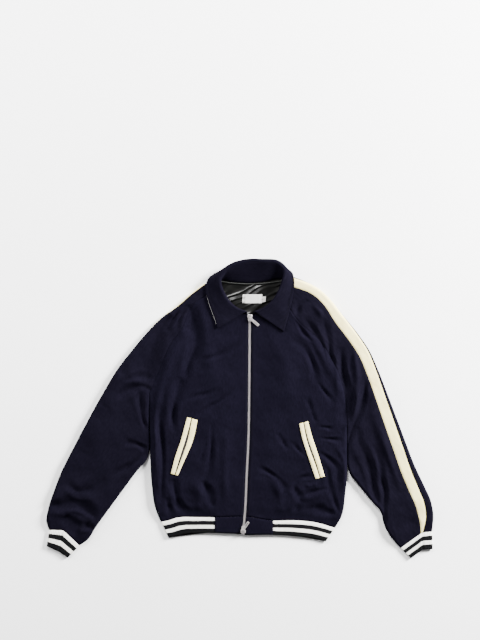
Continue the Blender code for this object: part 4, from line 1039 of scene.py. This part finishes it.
# ---- the collar: a straight stand, a round roll and a fall, in two layers
collar = {
    "upperWall": 2.0, "underWall": 1.2, "upperRim": 0.7, "underRim": 0.4,
    "gap": 0.25,  # half the distance between the two layers
    "fold": 4.4, "foldTurn": 75.0,  # the roll's radius, and how far it turns to each side in degrees
    "rest": 2.3,  # the fall's height above the fronts
    "standColumns": 8, "foldColumns": 13, "fallColumns": 29,
    "puff": 0.9, "uneven": (0.9, 60, 41),
    "edgeThin": 0.54, "edgeReach": 1.6,
    # rows: the neck seam, the roll and the fall's edge, each as x, y and height
    "rows": [
        ((19, 259, 8.0), (17, 266, 15), (-62, 221, 12)), ((-12, 267, 8.0), (-10, 277, 17), (-66, 236, 12)),
        ((-42, 284, 8.0), (-30, 295, 19), (-76, 264, 12)), ((-63, 305, 8.0), (-43, 316, 21), (-87, 296, 12)),
        ((-71, 326, 7.6), (-52, 338, 24), (-94, 328, 12)), ((-67, 344, 6.4), (-54, 358, 26), (-91, 350, 9)),
        ((-53, 353, 5.6), (-44, 378, 27), (-77, 366, 4)), ((-25, 350, 5.4), (-22, 396, 27), (-48, 374, 2.7)),
        ((19, 347, 5.4), (14, 408, 26), (-2, 372, 2.7)), ((66, 351, 5.4), (62, 409, 26), (62, 370, 2.7)),
        ((108, 358, 5.6), (106, 403, 27), (118, 374, 2.7)), ((125, 355, 6.4), (122, 385, 27), (140, 376, 5)),
        ((126, 335, 7.6), (118, 355, 26), (149, 352, 12)), ((117, 310, 8.0), (108, 327, 24), (148, 330, 12)),
        ((99, 289, 8.0), (94, 302, 22), (143, 298, 12)), ((76, 272, 8.0), (75, 283, 19), (135, 262, 12)),
        ((52, 263, 8.0), (57, 272, 17), (127, 234, 12)), ((35, 259, 8.0), (41, 266, 15), (121, 212, 12)),
    ],
}
fallStart = collar["standColumns"] + collar["foldColumns"]


def gridNormals(grid):
    # unit normals of a grid: at each point the mean of the faces round it
    face = unit(np.cross(grid[1:, 1:] - grid[:-1, :-1], grid[:-1, 1:] - grid[1:, :-1]))
    face = np.pad(face, ((1, 1), (1, 1), (0, 0)), mode="edge")
    return unit(face[1:, 1:] + face[:-1, 1:] + face[1:, :-1] + face[:-1, :-1])


def collarGrid():
    # each row is a straight stand, an arc round the roll's centre and a straight fall to the edge
    table = np.array(collar["rows"], float)
    seam, tip, fall = (smoothLine(table[:, k], 10) for k in range(3))
    first, last = unit(seam - tip), unit(fall - tip)
    inwards = unit(first + last)
    across = first - last
    across = unit(across - inwards * (across * inwards).sum(1, keepdims=True))
    centre = tip + inwards * collar["fold"]
    arcs = [centre + collar["fold"] * (across * math.sin(a) - inwards * math.cos(a))
            for a in np.radians(np.linspace(collar["foldTurn"], -collar["foldTurn"], collar["foldColumns"]))]
    down = np.linspace(0, 1, collar["fallColumns"] + 1)[1:]
    columns = [seam + (arcs[0] - seam) * t for t in np.linspace(0, 1, collar["standColumns"] + 1)[:-1]] + arcs
    grid = np.stack(columns + [arcs[-1] + (fall - arcs[-1]) * t for t in down], axis=1)
    x, y = grid[..., 0], grid[..., 1]
    over = np.repeat(grid[:, -1:, 2] > 8, grid.shape[1], axis=1)
    over[:, :fallStart] = False
    grid[..., 2] = np.where(over, np.maximum(grid[..., 2], clothHeight(x, y) + collar["rest"]), grid[..., 2])
    # the fall isn't quite flat
    soft = np.r_[np.zeros(fallStart), np.sin(math.pi * np.minimum(down * 1.1, 1)) ** 0.8]
    height, length, seed = collar["uneven"]
    grid[..., 2] += soft * (height * waves(x, y, length, seed) + collar["puff"])
    return grid


def makeCollar():
    # two layers, to either side of the grid along its normals, drawn together by a bell at the edge
    grid = collarGrid()
    normal = gridNormals(grid)
    middle = grid.shape[0] // 2
    if normal[middle, 3, 2] < 0:
        normal = -normal
    down, across = columnLengths(grid, 0), columnLengths(grid, 1)
    toEdge = np.minimum(np.minimum(down, down[-1:] - down), across[:, -1:] - across)
    thin = collar["edgeThin"] * bell(toEdge, collar["edgeReach"])
    upper, under = grid + normal * (collar["gap"] - thin[..., None]), grid - normal * collar["gap"]
    for key, layer in (("upper", upper), ("under", under)):
        name = f"collar{key.capitalize()}"
        made = clothPiece(name, [f"collar_{key}"], "meltonSleeve", layer,
                          wall=collar[f"{key}Wall"], rim=collar[f"{key}Rim"], outwards=key == "upper")
        if made.data.polygons[middle * (grid.shape[1] - 1) + 3].normal.z < 0:
            made.data.flip_normals()
    return grid, grid + normal * (collar["gap"] + collar["upperWall"])


collarMiddle, collarFace = makeCollar()

# ---- back neck: satin lining, piping, label and size tab
neck = {
    "arcLow": (26, 346), "arcRise": 9.0, "arcHalf": 90.0,  # the back neck seam's lowest place and its bend
    "lift": 4.2, "creaseDepth": 3.2, "creaseWidth": 15.0,
    # height, length and seed of the waves that bend the creases, strengthen them and roughen the satin
    "bend": (1.3, 40, 52), "strength": (0.5, 30, 53), "fine": (0.2, 24, 51),
    "lining": (-62, 118, 254), "liningGrid": (170, 110),  # left, right and lower edge; columns and rows
    "liningWall": 0.9, "liningPast": 9.0,  # how far it runs on under the collar
    "piping": (-58, 118), "pipingHeight": 7.6, "pipingRadius": 1.2, "pipingInset": 3.0,
    "label": (6, 60, 290, 314), "tab": (60.6, 70.3, 293, 308),  # left, right, lower and upper edge
    "labelTop": 7.4, "labelWall": 0.5, "labelRim": 0.15, "labelGrid": (28, 16),
    "slant": 0.06, "tabCorner": 6.0,
}


def neckArc(x):
    # the back neck seam: a parabola about its lowest place
    return neck["arcLow"][1] + neck["arcRise"] * ((x - neck["arcLow"][0]) / neck["arcHalf"]) ** 2


def liningHeight(x, y):
    # slack satin in creases that rise to +x, sharper on one side and stronger in some places
    run, rise = x * 0.89 + y * 0.45, y * 0.89 - x * 0.45
    height, *pattern = neck["bend"]
    slant = rise * 2 * math.pi / neck["creaseWidth"] + height * waves(run * 0.45, rise, *pattern)
    crease = 0.5 + 0.5 * np.sin(slant + 0.6 * np.sin(slant))
    height, *pattern = neck["strength"]
    strength = np.clip(0.62 + height * waves(run * 0.4, rise, *pattern), 0.12, 1.1)
    strength = strength * (1 - 0.6 * ramp(x, 50, 40))
    height, *pattern = neck["fine"]
    creases = strength * neck["creaseDepth"] * crease**1.3 + height * waves(x, y, *pattern)
    pastSeam = y - neckArc(x)
    return neck["lift"] - 1.4 * ramp(pastSeam, 0, 8) + ramp(-pastSeam, 0, 10) * creases


def labelHeight(x, y, key):
    # the label is level, with both short ends sewn down to the lining; the tab is sewn down at one end
    left, right = neck[key][:2]
    share = (x - left) / (right - left)
    level = neck["labelTop"] + 0.35 * np.sin(np.clip(share, 0, 1) * math.pi) + 0.12 * np.sin(x / 7 + y / 9)
    sewn = ramp(np.abs(share - 0.5), 0.34, 0.13) if key == "label" else ramp(-share, -0.75, 0.7)
    return level + (liningHeight(x, y) + neck["labelWall"] + 0.1 - level) * sewn


def makeNeck():
    # the lining and the labels are heights over flat grids, the piping a circle carried along the seam
    left, right, low = neck["lining"]
    columns, count = neck["liningGrid"]
    x = np.linspace(left, right, columns)
    top = neckArc(x) + neck["liningPast"]
    x, y = np.broadcast_arrays(x, top + (low - top) * np.linspace(0, 1, count)[:, None])
    clothPiece("neckLining", ["lining_back_neck"], "blackSatin",
               np.dstack([x, y, liningHeight(x, y)]), wall=neck["liningWall"])
    x = np.linspace(*neck["piping"], 70)
    centre = np.stack([x, neckArc(x) - neck["pipingInset"], 0 * x + neck["pipingHeight"]], axis=1)
    turn = circle(12)
    ring = np.stack([0 * turn, np.cos(turn), np.sin(turn)], axis=1) * neck["pipingRadius"]
    closedTube("neckPiping", centre[:, None] + ring[None], "greyPiping", ["neck_piping"])
    columns, count = neck["labelGrid"]
    for name, node, key in (("neckLabel", "label", "label"), ("sizeTab", "size_tab", "tab")):
        left, right, low, high = neck[key]
        u, v = np.meshgrid(np.linspace(left, right, columns), np.linspace(high, low, count))
        if key == "tab":
            # its lower corners are rounded
            corner = np.maximum(np.abs(u - (left + right) / 2) / (right - left) * 2 - 0.5, 0)
            v = v + np.where(v < (low + high) / 2, 1, 0) * corner**2 * neck["tabCorner"]
        grid = np.dstack([u + neck["slant"] * (v - low), v, labelHeight(u, v, key)])
        clothPiece(name, [node], "whiteLabel", grid, wall=neck["labelWall"],
                   rim=neck["labelRim"])


makeNeck()
print("neck ready")

# ---- pockets: a dark opening between two felt welts
pocket = {
    # y, then x of the left edge, of the slit and of the right edge
    "right": [(-27, -145, -133, -117), (-60, -154, -140, -123), (-95, -163, -149, -133),
              (-135, -178, -163, -151), (-182, -190, -179, -171)],
    "left": [(-38, 163, 175, 187), (-75, 170, 182, 196), (-110, 181, 193, 208),
             (-150, 195, 208, 221), (-190, 208, 220, 233)],
    "rows": 44, "columns": 15, "wall": 1.6, "lift": 2.2, "rim": 0.4,
    "rounding": 5,  # rows to each side that are averaged to round the lines
    "endDrop": 8.0, "width": 28.0,  # the ends are cut at a slant: their drop over the pocket's width
    # half the slit's width at its ends, and what its middle adds
    "gape": {"right": (1.4, 1.9), "left": (1.3, 1.2)},
    "puff": 0.5, "sideDrop": 0.9, "sideReach": 1.1, "tipDrop": 0.8, "tipReach": 1.4, "rowPitch": 3.6,
    "bagWidth": 13.0, "bagLift": 0.55, "bagHump": 0.25, "bagWall": 0.4,
}
stitch = {
    "pitch": 3.3, "length": 2.5, "radius": 0.36,
    "inset": 6.0,  # from the edge to the row
    "lift": 0.1, "frontLift": 0.12, "labelInset": 1.6,
}
seamPaths = []  # every row of stitches: name, path, thread and slot


def makePocket(side):
    # each welt fills the space between two rounded lines: it lies on the cloth, puffed up by a sine and
    # brought down by bells at its edges and ends
    title, count, width = f"pocket{side.capitalize()}", pocket["rows"], pocket["columns"]
    table = np.array(pocket[side], float)[::-1]
    y = np.linspace(table[-1, 0], table[0, 0], count)
    near = pocket["rounding"]
    kernel = np.ones(2 * near + 1) / (2 * near + 1)
    lines = [np.interp(y, table[:, 0], table[:, k]) for k in (1, 2, 3)]
    lines = [np.pad(line, near, mode="reflect", reflect_type="odd") for line in lines]
    left, slit, right = (np.convolve(line, kernel, "valid") for line in lines)
    ends, middle = pocket["gape"][side]
    gape = ends + middle * np.sin(math.pi * np.linspace(0, 1, count)) ** 1.5
    lean = -signs[side] * pocket["endDrop"]
    low, high = ("Outer", "Inner")[::-signs[side]]
    toTip = np.minimum(np.arange(count), count - 1 - np.arange(count))[:, None] * pocket["rowPitch"]

    def sloped(x):
        # each row's y, slanting across the pocket
        return y[:, None] - (x - slit[:, None]) / pocket["width"] * lean

    t = np.linspace(0, 1, width)[None]
    for part, a, b in ((low, left, slit - gape), (high, slit + gape, right)):
        across = (b - a)[:, None]
        x = a[:, None] + across * t
        level = sloped(x)
        z = clothHeight(x, level) + pocket["lift"] + pocket["puff"] * np.sin(math.pi * t)
        z = z - pocket["sideDrop"] * bell(np.minimum(t, 1 - t) * across, pocket["sideReach"])
        grid = np.dstack([x, level, z - pocket["tipDrop"] * bell(toTip, pocket["tipReach"])])
        node = f"pocket_{side}_{part.lower()}_welt"
        clothPiece(f"{title}{part}Welt", [node], "creamFelt", grid, wall=pocket["wall"],
                   rim=pocket["rim"])
        for column in (1, width - 2):
            path = grid[1:-1, column] + [0, 0, stitch["lift"]]
            seamPaths.append((f"{title}{part}WeltStitch{column}", path, "creamThread", "cream_felt"))
    t = np.linspace(-0.5, 0.5, 7)[None]
    x = slit[:, None] + t * pocket["bagWidth"]
    level = sloped(x)
    z = clothHeight(x, level) + pocket["bagLift"] + pocket["bagHump"] * np.cos(t * 4)
    clothPiece(f"{title}Opening", [], "pocketLining", np.dstack([x, level, z])[1:-1],
               wall=pocket["bagWall"])


for side in cut:
    makePocket(side)
print("pockets ready")

# ---- zip: woven tapes, two rows of cast teeth, two sliders with hinged pulls
zipper = {
    "tapeWall": 1.0, "tapeInner": 0.6, "tapeOuter": 17.0, "tapeDrop": 3.2, "tapeTop": 253.0,
    "tapeRows": 150, "tapeColumns": 12,
    "pitch": 2.9, "teethTop": 250.0,
    "reach": 3.05, "overlap": 1.0,  # from the middle, into its own tape and into the other row
    "toothWidth": 1.55, "toothHeight": 3.0, "toothDrop": 1.6,
    "bodyLength": 21.0, "bodyHalf": 4.5, "shoulders": 2.4, "bodyWall": 2.6, "bodyLift": 0.3,
    "crownRise": 4.0, "crownRun": 3.0, "crownSink": 0.4, "crownWidth": 0.6,
    "pinHeight": 1.7, "pinRadius": 0.6, "pinHalf": 3.2,
    "tabHalf": 3.3, "tabWall": 1.5, "tabBevel": 0.3, "tabBack": 1.1, "tabCorner": 1.2, "lean": 4.5,
    "slotStart": 0.42, "slotEnd": 3.0,  # share of the tab's length, and distance from its end
    # rectangles: ends, half width and corner
    "strap": (-0.55, 0.55, 1.5, 0.35), "window": (0.9, 5.4, 2.0, 0.7), "slot": (1.1, 1.05),
    "toothBevel": 0.35, "toothTaper": 0.15,
    # each slider's place, its tab's length and turn, and which way the body opens
    "sliders": {"top": ((27, 249), 32.0, -41.0, 1), "bottom": ((8.6, -333), 26.0, 55.0, -1)},
}


def makeTapes():
    # a strip to each side of the zip's line, a little below the cloth
    line = smoothLine(zipLine[::-1])
    line = along(line[line[:, 1] < zipper["tapeTop"]], np.linspace(0, 1, zipper["tapeRows"]))
    for side in cut:
        edges = sorted(signs[side] * zipper[key] for key in ("tapeInner", "tapeOuter"))
        x = line[:, :1] + np.linspace(*edges, zipper["tapeColumns"])[None]
        y = np.repeat(line[:, 1:], zipper["tapeColumns"], axis=1)
        grid = np.dstack([x, y, clothHeight(x, y) - zipper["tapeDrop"]])
        clothPiece(f"zipTape{side.capitalize()}", [f"zip_tape_{side}"], "zipTape", grid,
                   wall=zipper["tapeWall"])


def toothShape():
    # a box with softened edges, a little narrower where it is rooted in the tape
    size = (zipper["reach"] + zipper["overlap"], zipper["toothWidth"], zipper["toothHeight"])
    shape = bmesh.new()
    bmesh.ops.create_cube(shape, size=1.0)
    bmesh.ops.scale(shape, vec=size, verts=shape.verts)
    for corner in shape.verts:
        if corner.co.x < 0:
            corner.co.y *= 1 - zipper["toothTaper"]
    bmesh.ops.bevel(shape, geom=shape.edges, offset=zipper["toothBevel"], segments=1, affect="EDGES")
    corners = np.array([v.co[:] for v in shape.verts]) + [size[0] / 2 - zipper["overlap"], 0, 0]
    faces = [[v.index for v in f.verts] for f in shape.faces]
    shape.free()
    return corners, faces


def makeTeeth():
    # a tooth at each pitch of the zip's line, turned along it; the left row is half a pitch on
    line = smoothLine(zipLine[::-1])
    line = line[line[:, 1] < zipper["teethTop"]]
    length = lineLength(line)
    for side, start, nodes in (("right", 0.0, ["zip_chain"]), ("left", zipper["pitch"] / 2, [])):
        at = np.arange(start, length, zipper["pitch"]) / length
        spot = along(line, at)
        ahead = unit(along(line, np.minimum(at + 0.002, 1)) - along(line, np.maximum(at - 0.002, 0)))
        z = clothHeight(spot[:, 0], spot[:, 1]) - zipper["toothDrop"]
        across = np.stack([ahead[:, 1] * signs[side], -ahead[:, 0] * signs[side], 0 * z], axis=1)
        up = np.tile([0.0, 0.0, 1.0], (len(z), 1))
        frames = np.stack([across, np.cross(up, across), up], axis=2)
        made = repeated(f"zipTeeth{side.capitalize()}", toothShape(), np.column_stack([spot, z]), frames,
                        "nickelPlate", nodes)
        made.data.shade_flat()


def cutPlate(name, outer, holes, place):
    # a plate cut to an outline with holes, with softened edges: a filled flat curve turned into a mesh
    data = bpy.data.curves.new(name, "CURVE")
    data.dimensions = "2D"
    data.fill_mode = "BOTH"
    data.extrude = (zipper["tabWall"] / 2 - zipper["tabBevel"]) * mm
    data.bevel_depth = zipper["tabBevel"] * mm
    data.bevel_resolution = 2
    data.offset = -zipper["tabBevel"] * mm
    for points in [outer] + holes:
        spline = data.splines.new("POLY")
        spline.points.add(len(points) - 1)
        flat = np.column_stack([points * mm, np.zeros(len(points)), np.ones(len(points))])
        spline.points.foreach_set("co", flat.astype(np.float32).ravel())
        spline.use_cyclic_u = True
    temporary = bpy.data.objects.new(name, data)
    scene.collection.objects.link(temporary)
    bpy.context.view_layer.update()
    mesh = bpy.data.meshes.new_from_object(temporary)
    bpy.data.objects.remove(temporary)
    bpy.data.curves.remove(data)
    mesh.transform(place)
    mesh.materials.clear()
    turnOut(mesh, meet=0.02 * mm)
    return mesh


def roundedRectangle(x0, x1, half, corner, steps=8):
    # four quarter circles, each round its own corner's centre
    turn = np.linspace(0, math.pi / 2, steps)
    quarters = []
    for number, (x, y) in enumerate(((x1 - corner, half - corner), (x0 + corner, half - corner),
                                     (x0 + corner, corner - half), (x1 - corner, corner - half))):
        a = turn + number * math.pi / 2
        quarters.append(np.stack([x + corner * np.cos(a), y + corner * np.sin(a)], axis=1))
    return np.vstack(quarters)


def makeSlider(prefix, spot, tabLength, tabTurn, opening):
    # rings carried along straight lines and over an arch, and a plate that lies on its own turned axes
    x, y = spot
    base = float(clothHeight(x, y)) + zipper["bodyLift"]
    wall = zipper["bodyWall"]
    # the body: a plate that widens to its shoulders, with its sides turned down
    s = np.linspace(-1, 1, 25)[:, None]
    widen = smoothStep((s * opening + 0.25) / 0.7)
    wide = (zipper["bodyHalf"] + zipper["shoulders"] * widen) * np.sqrt(np.clip(1 - np.abs(s) ** 9, 0.02, 1))
    c, d = np.cos(circle(28)), np.sin(circle(28))
    cx = np.sign(c) * np.abs(c) ** 0.45 * wide
    cz = np.sign(d) * np.abs(d) ** 0.5 * wall / 2 * np.minimum(1, (1 - np.abs(s)) * 9 + 0.35)
    cz = cz + wall / 2 + 0.25 * (1 - (cx / 8) ** 2)
    rings = np.stack([x + cx, y + s * zipper["bodyLength"] / 2 + 0 * cx, base + cz], axis=-1)
    closedTube(f"{prefix}SliderBody", rings, "nickelPlate", [f"{prefix}_slider"])
    # the crown: a flat strap that arches over the pull's pin
    thick, wide = roundedRectangle(*zipper["strap"], 4).T
    arch = np.linspace(0, math.pi, 22)[:, None]
    run, rise = (zipper["crownRun"] + thick) * np.cos(arch), (zipper["crownRise"] + thick) * np.sin(arch)
    rings = np.stack([x + wide * zipper["crownWidth"] + 0 * arch, y - run,
                      base + wall - zipper["crownSink"] + rise], axis=-1)
    closedTube(f"{prefix}SliderCrown", rings, "nickelPlate")
    # the pull: a plate with a window for the crown and a long slot, hinged on a round pin
    pivot = Matrix.Translation(np.array([x, y, base + wall + zipper["pinHeight"]]) * mm)
    lie = pivot @ Matrix.Rotation(math.radians(tabTurn), 4, "Z")
    lie = lie @ Matrix.Rotation(math.radians(zipper["lean"]), 4, "Y")
    outer = roundedRectangle(-zipper["tabBack"], tabLength, zipper["tabHalf"], zipper["tabCorner"])
    window = roundedRectangle(*zipper["window"])[::-1]
    start, end = tabLength * zipper["slotStart"], tabLength - zipper["slotEnd"]
    slot = roundedRectangle(start, end, *zipper["slot"])[::-1]
    mesh = cutPlate(f"{prefix}Pull", outer, [window, slot], lie)
    newPiece(f"{prefix}Pull", mesh, "nickelPlate", [f"{prefix}_pull"], f"{prefix}_pull")
    length = np.linspace(-zipper["pinHalf"], zipper["pinHalf"], 4)[:, None]
    c, d = np.cos(circle(14)) * zipper["pinRadius"], np.sin(circle(14)) * zipper["pinRadius"]
    pin = np.stack(np.broadcast_arrays(c, length, d), axis=-1)
    rings = np.array(pivot.translation) / mm + pin @ np.array(lie.to_3x3()).T
    closedTube(f"{prefix}PullPin", rings, "nickelPlate", body=f"{prefix}_pull")


makeTapes()
makeTeeth()
for prefix, facts in zipper["sliders"].items():
    makeSlider(prefix, *facts)
print("zip ready")


# ---- stitches and thin edges of cloth
def stitchShape():
    # one stitch along +x: a spindle of six sides that sinks into the cloth at both ends
    turn = circle(6)
    rings = [np.stack([0 * turn + a * stitch["length"], r * stitch["radius"] * np.cos(turn),
                       r * stitch["radius"] * 0.8 * np.sin(turn) + 0.18 * (1 - (2 * a) ** 2) - 0.1], axis=1)
             for a, r in ((-0.5, 0.25), (-0.36, 0.8), (-0.12, 1.0), (0.12, 1.0), (0.36, 0.8), (0.5, 0.25))]
    faces = [[k * 6 + j, (k + 1) * 6 + j, (k + 1) * 6 + (j + 1) % 6, k * 6 + (j + 1) % 6]
             for k in range(5) for j in range(6)]
    return np.vstack(rings), faces + [list(range(6)), list(range(35, 29, -1))]


def sewSeam(name, path, finish, slot):
    # a stitch in the middle of each equal share of the path, turned along it
    length = lineLength(path)
    count = max(int(length / stitch["pitch"]), 2)
    at = (np.arange(count) + 0.5) / count
    step = 0.45 * stitch["length"] / length
    ahead = unit(along(path, at + step) - along(path, at - step))
    side = unit(np.cross([0.0, 0.0, 1.0], ahead))
    frames = np.stack([ahead, side, np.cross(ahead, side)], axis=2)
    repeated(name, stitchShape(), along(path, at), frames, finish)


def rowInside(grid, distance):
    # the line over a grid that runs a set distance from its last column
    lengths = columnLengths(grid, 1)
    lengths = (lengths[:, -1:] - lengths)[:, ::-1]
    return np.array([[np.interp(distance, row, line[::-1, k]) for k in range(3)]
                     for row, line in zip(lengths, grid)])


edging = {
    "outside": 0.3,  # distance from the grid's last line
    # rows or columns of the collar that it runs past, and its radius along them
    "rightRows": (5, 36), "rightRadii": (0.1, 0.55, 0.6, 0.5, 0.1),
    "leftColumns": (fallStart, 34), "leftRadii": (0.1, 0.75, 0.25, 0.2, 0.1),
}


def thinEdge(name, lines, radii, finish):
    # a fine round edge just outside a grid's last line, thicker and thinner along it
    path, inside = lines
    path = path + unit(path - inside) * edging["outside"]
    turn = circle(8)[None, :, None]
    size = np.interp(np.linspace(0, 1, len(path)), np.linspace(0, 1, len(radii)), radii)[:, None, None]
    side = np.cross(unit(np.gradient(path, axis=0)), [0.0, 0.0, 1.0])[:, None]
    rings = path[:, None] + size * (side * np.cos(turn) + np.array([0, 0, 1.0]) * np.sin(turn))
    closedTube(name, rings, finish)


# a thin pale tube just outside the right fall's edge, and a thin grey one beneath the left fall's end
beside = collarMiddle[slice(*edging["rightRows"])]
thinEdge("collarEdgeRight", (beside[:, -1], beside[:, -2]), edging["rightRadii"], "whiteLabel")
beside = collarMiddle[:, slice(*edging["leftColumns"])]
thinEdge("collarEdgeLeft", (beside[-1], beside[-2]), edging["leftRadii"], "greyPiping")
for side in cut:
    beside = {"Zip": frontGrids[side][1:front["zipRow"] * rows["steps"]], "Band": bandGrids[side]}
    for part, grid in beside.items():
        path = rowInside(grid, stitch["inset"]) + [0, 0, stitch["frontLift"]]
        seamPaths.append((f"front{side.capitalize()}{part}Stitch", path, "navyThread", "melton_front"))
path = rowInside(collarFace, stitch["inset"]) + [0, 0, stitch["lift"]]
seamPaths.append(("collarEdgeStitch", path, "navyThread", "melton_sleeve"))
left, right, low, high = neck["label"]
for title, x in (("Left", left + stitch["labelInset"]), ("Right", right - stitch["labelInset"])):
    y = np.linspace(low + 1, high - 1, 8)
    z = labelHeight(x + 0 * y, y, "label") + stitch["frontLift"]
    path = np.stack([x + neck["slant"] * (y - low), y, z], axis=1)
    seamPaths.append((f"labelStitch{title}", path, "whiteThread", "label_white"))
for seam in seamPaths:
    sewSeam(*seam)
print("stitches ready:", len(seamPaths), "rows")

# ---- floor, light and camera
studio = {
    "floor": "#fdfdfd", "floorHalf": 7.0, "floorZ": -0.0004, "world": 0.28,
    "camera": 5.5, "viewHeight": 1.76, "centreY": 0.24365, "topLevel": 0.01, "sensor": 24.0,
    "lamps": [  # place, size, watts
        ((3.3, 1.9, 1.4), 1.0, 1600.0),
        ((-3.0, 1.0, 0.8), 1.0, 200.0),
        ((-0.8, 2.6, 1.9), 0.9, 220.0),
    ],
}
# matt white paper
newFinish("studioPaper", Base_Color=toLinear(studio["floor"]), Roughness=0.8, Specular_IOR_Level=0.1)
floorMesh = bpy.data.meshes.new("floor")
floorMesh.from_pydata([(x * studio["floorHalf"], y * studio["floorHalf"], studio["floorZ"])
                       for x, y in ((-1, -1), (1, -1), (1, 1), (-1, 1))], [], [(0, 1, 2, 3)])
floorMesh.materials.append(finishes["studioPaper"])
floor = bpy.data.objects.new("floor", floorMesh)
scene.collection.objects.link(floor)

world = bpy.data.worlds.new("studio")
scene.world = world
world.use_nodes = True
background = world.node_tree.nodes["Background"]
background.inputs["Color"].default_value = (1, 1, 1, 1)
background.inputs["Strength"].default_value = studio["world"]
for number, (place, size, watts) in enumerate(studio["lamps"]):
    data = bpy.data.lights.new(f"softbox{number}", "AREA")
    data.shape = "SQUARE"
    data.size = size
    data.energy = watts
    lamp = bpy.data.objects.new(f"softbox{number}", data)
    lamp.location = place
    x, y, z = place
    lamp.rotation_euler = (0, -math.atan2(math.hypot(x, y), z), math.atan2(-y, -x))  # turned to the origin
    lamp.visible_camera = False
    scene.collection.objects.link(lamp)

lens = bpy.data.cameras.new("camera")
lens.sensor_fit = "VERTICAL"
lens.sensor_height = studio["sensor"]
lens.lens = studio["sensor"] * studio["camera"] / studio["viewHeight"]
camera = bpy.data.objects.new("camera", lens)
camera.location = (0, studio["centreY"], studio["camera"] + studio["topLevel"])
scene.collection.objects.link(camera)
scene.camera = camera
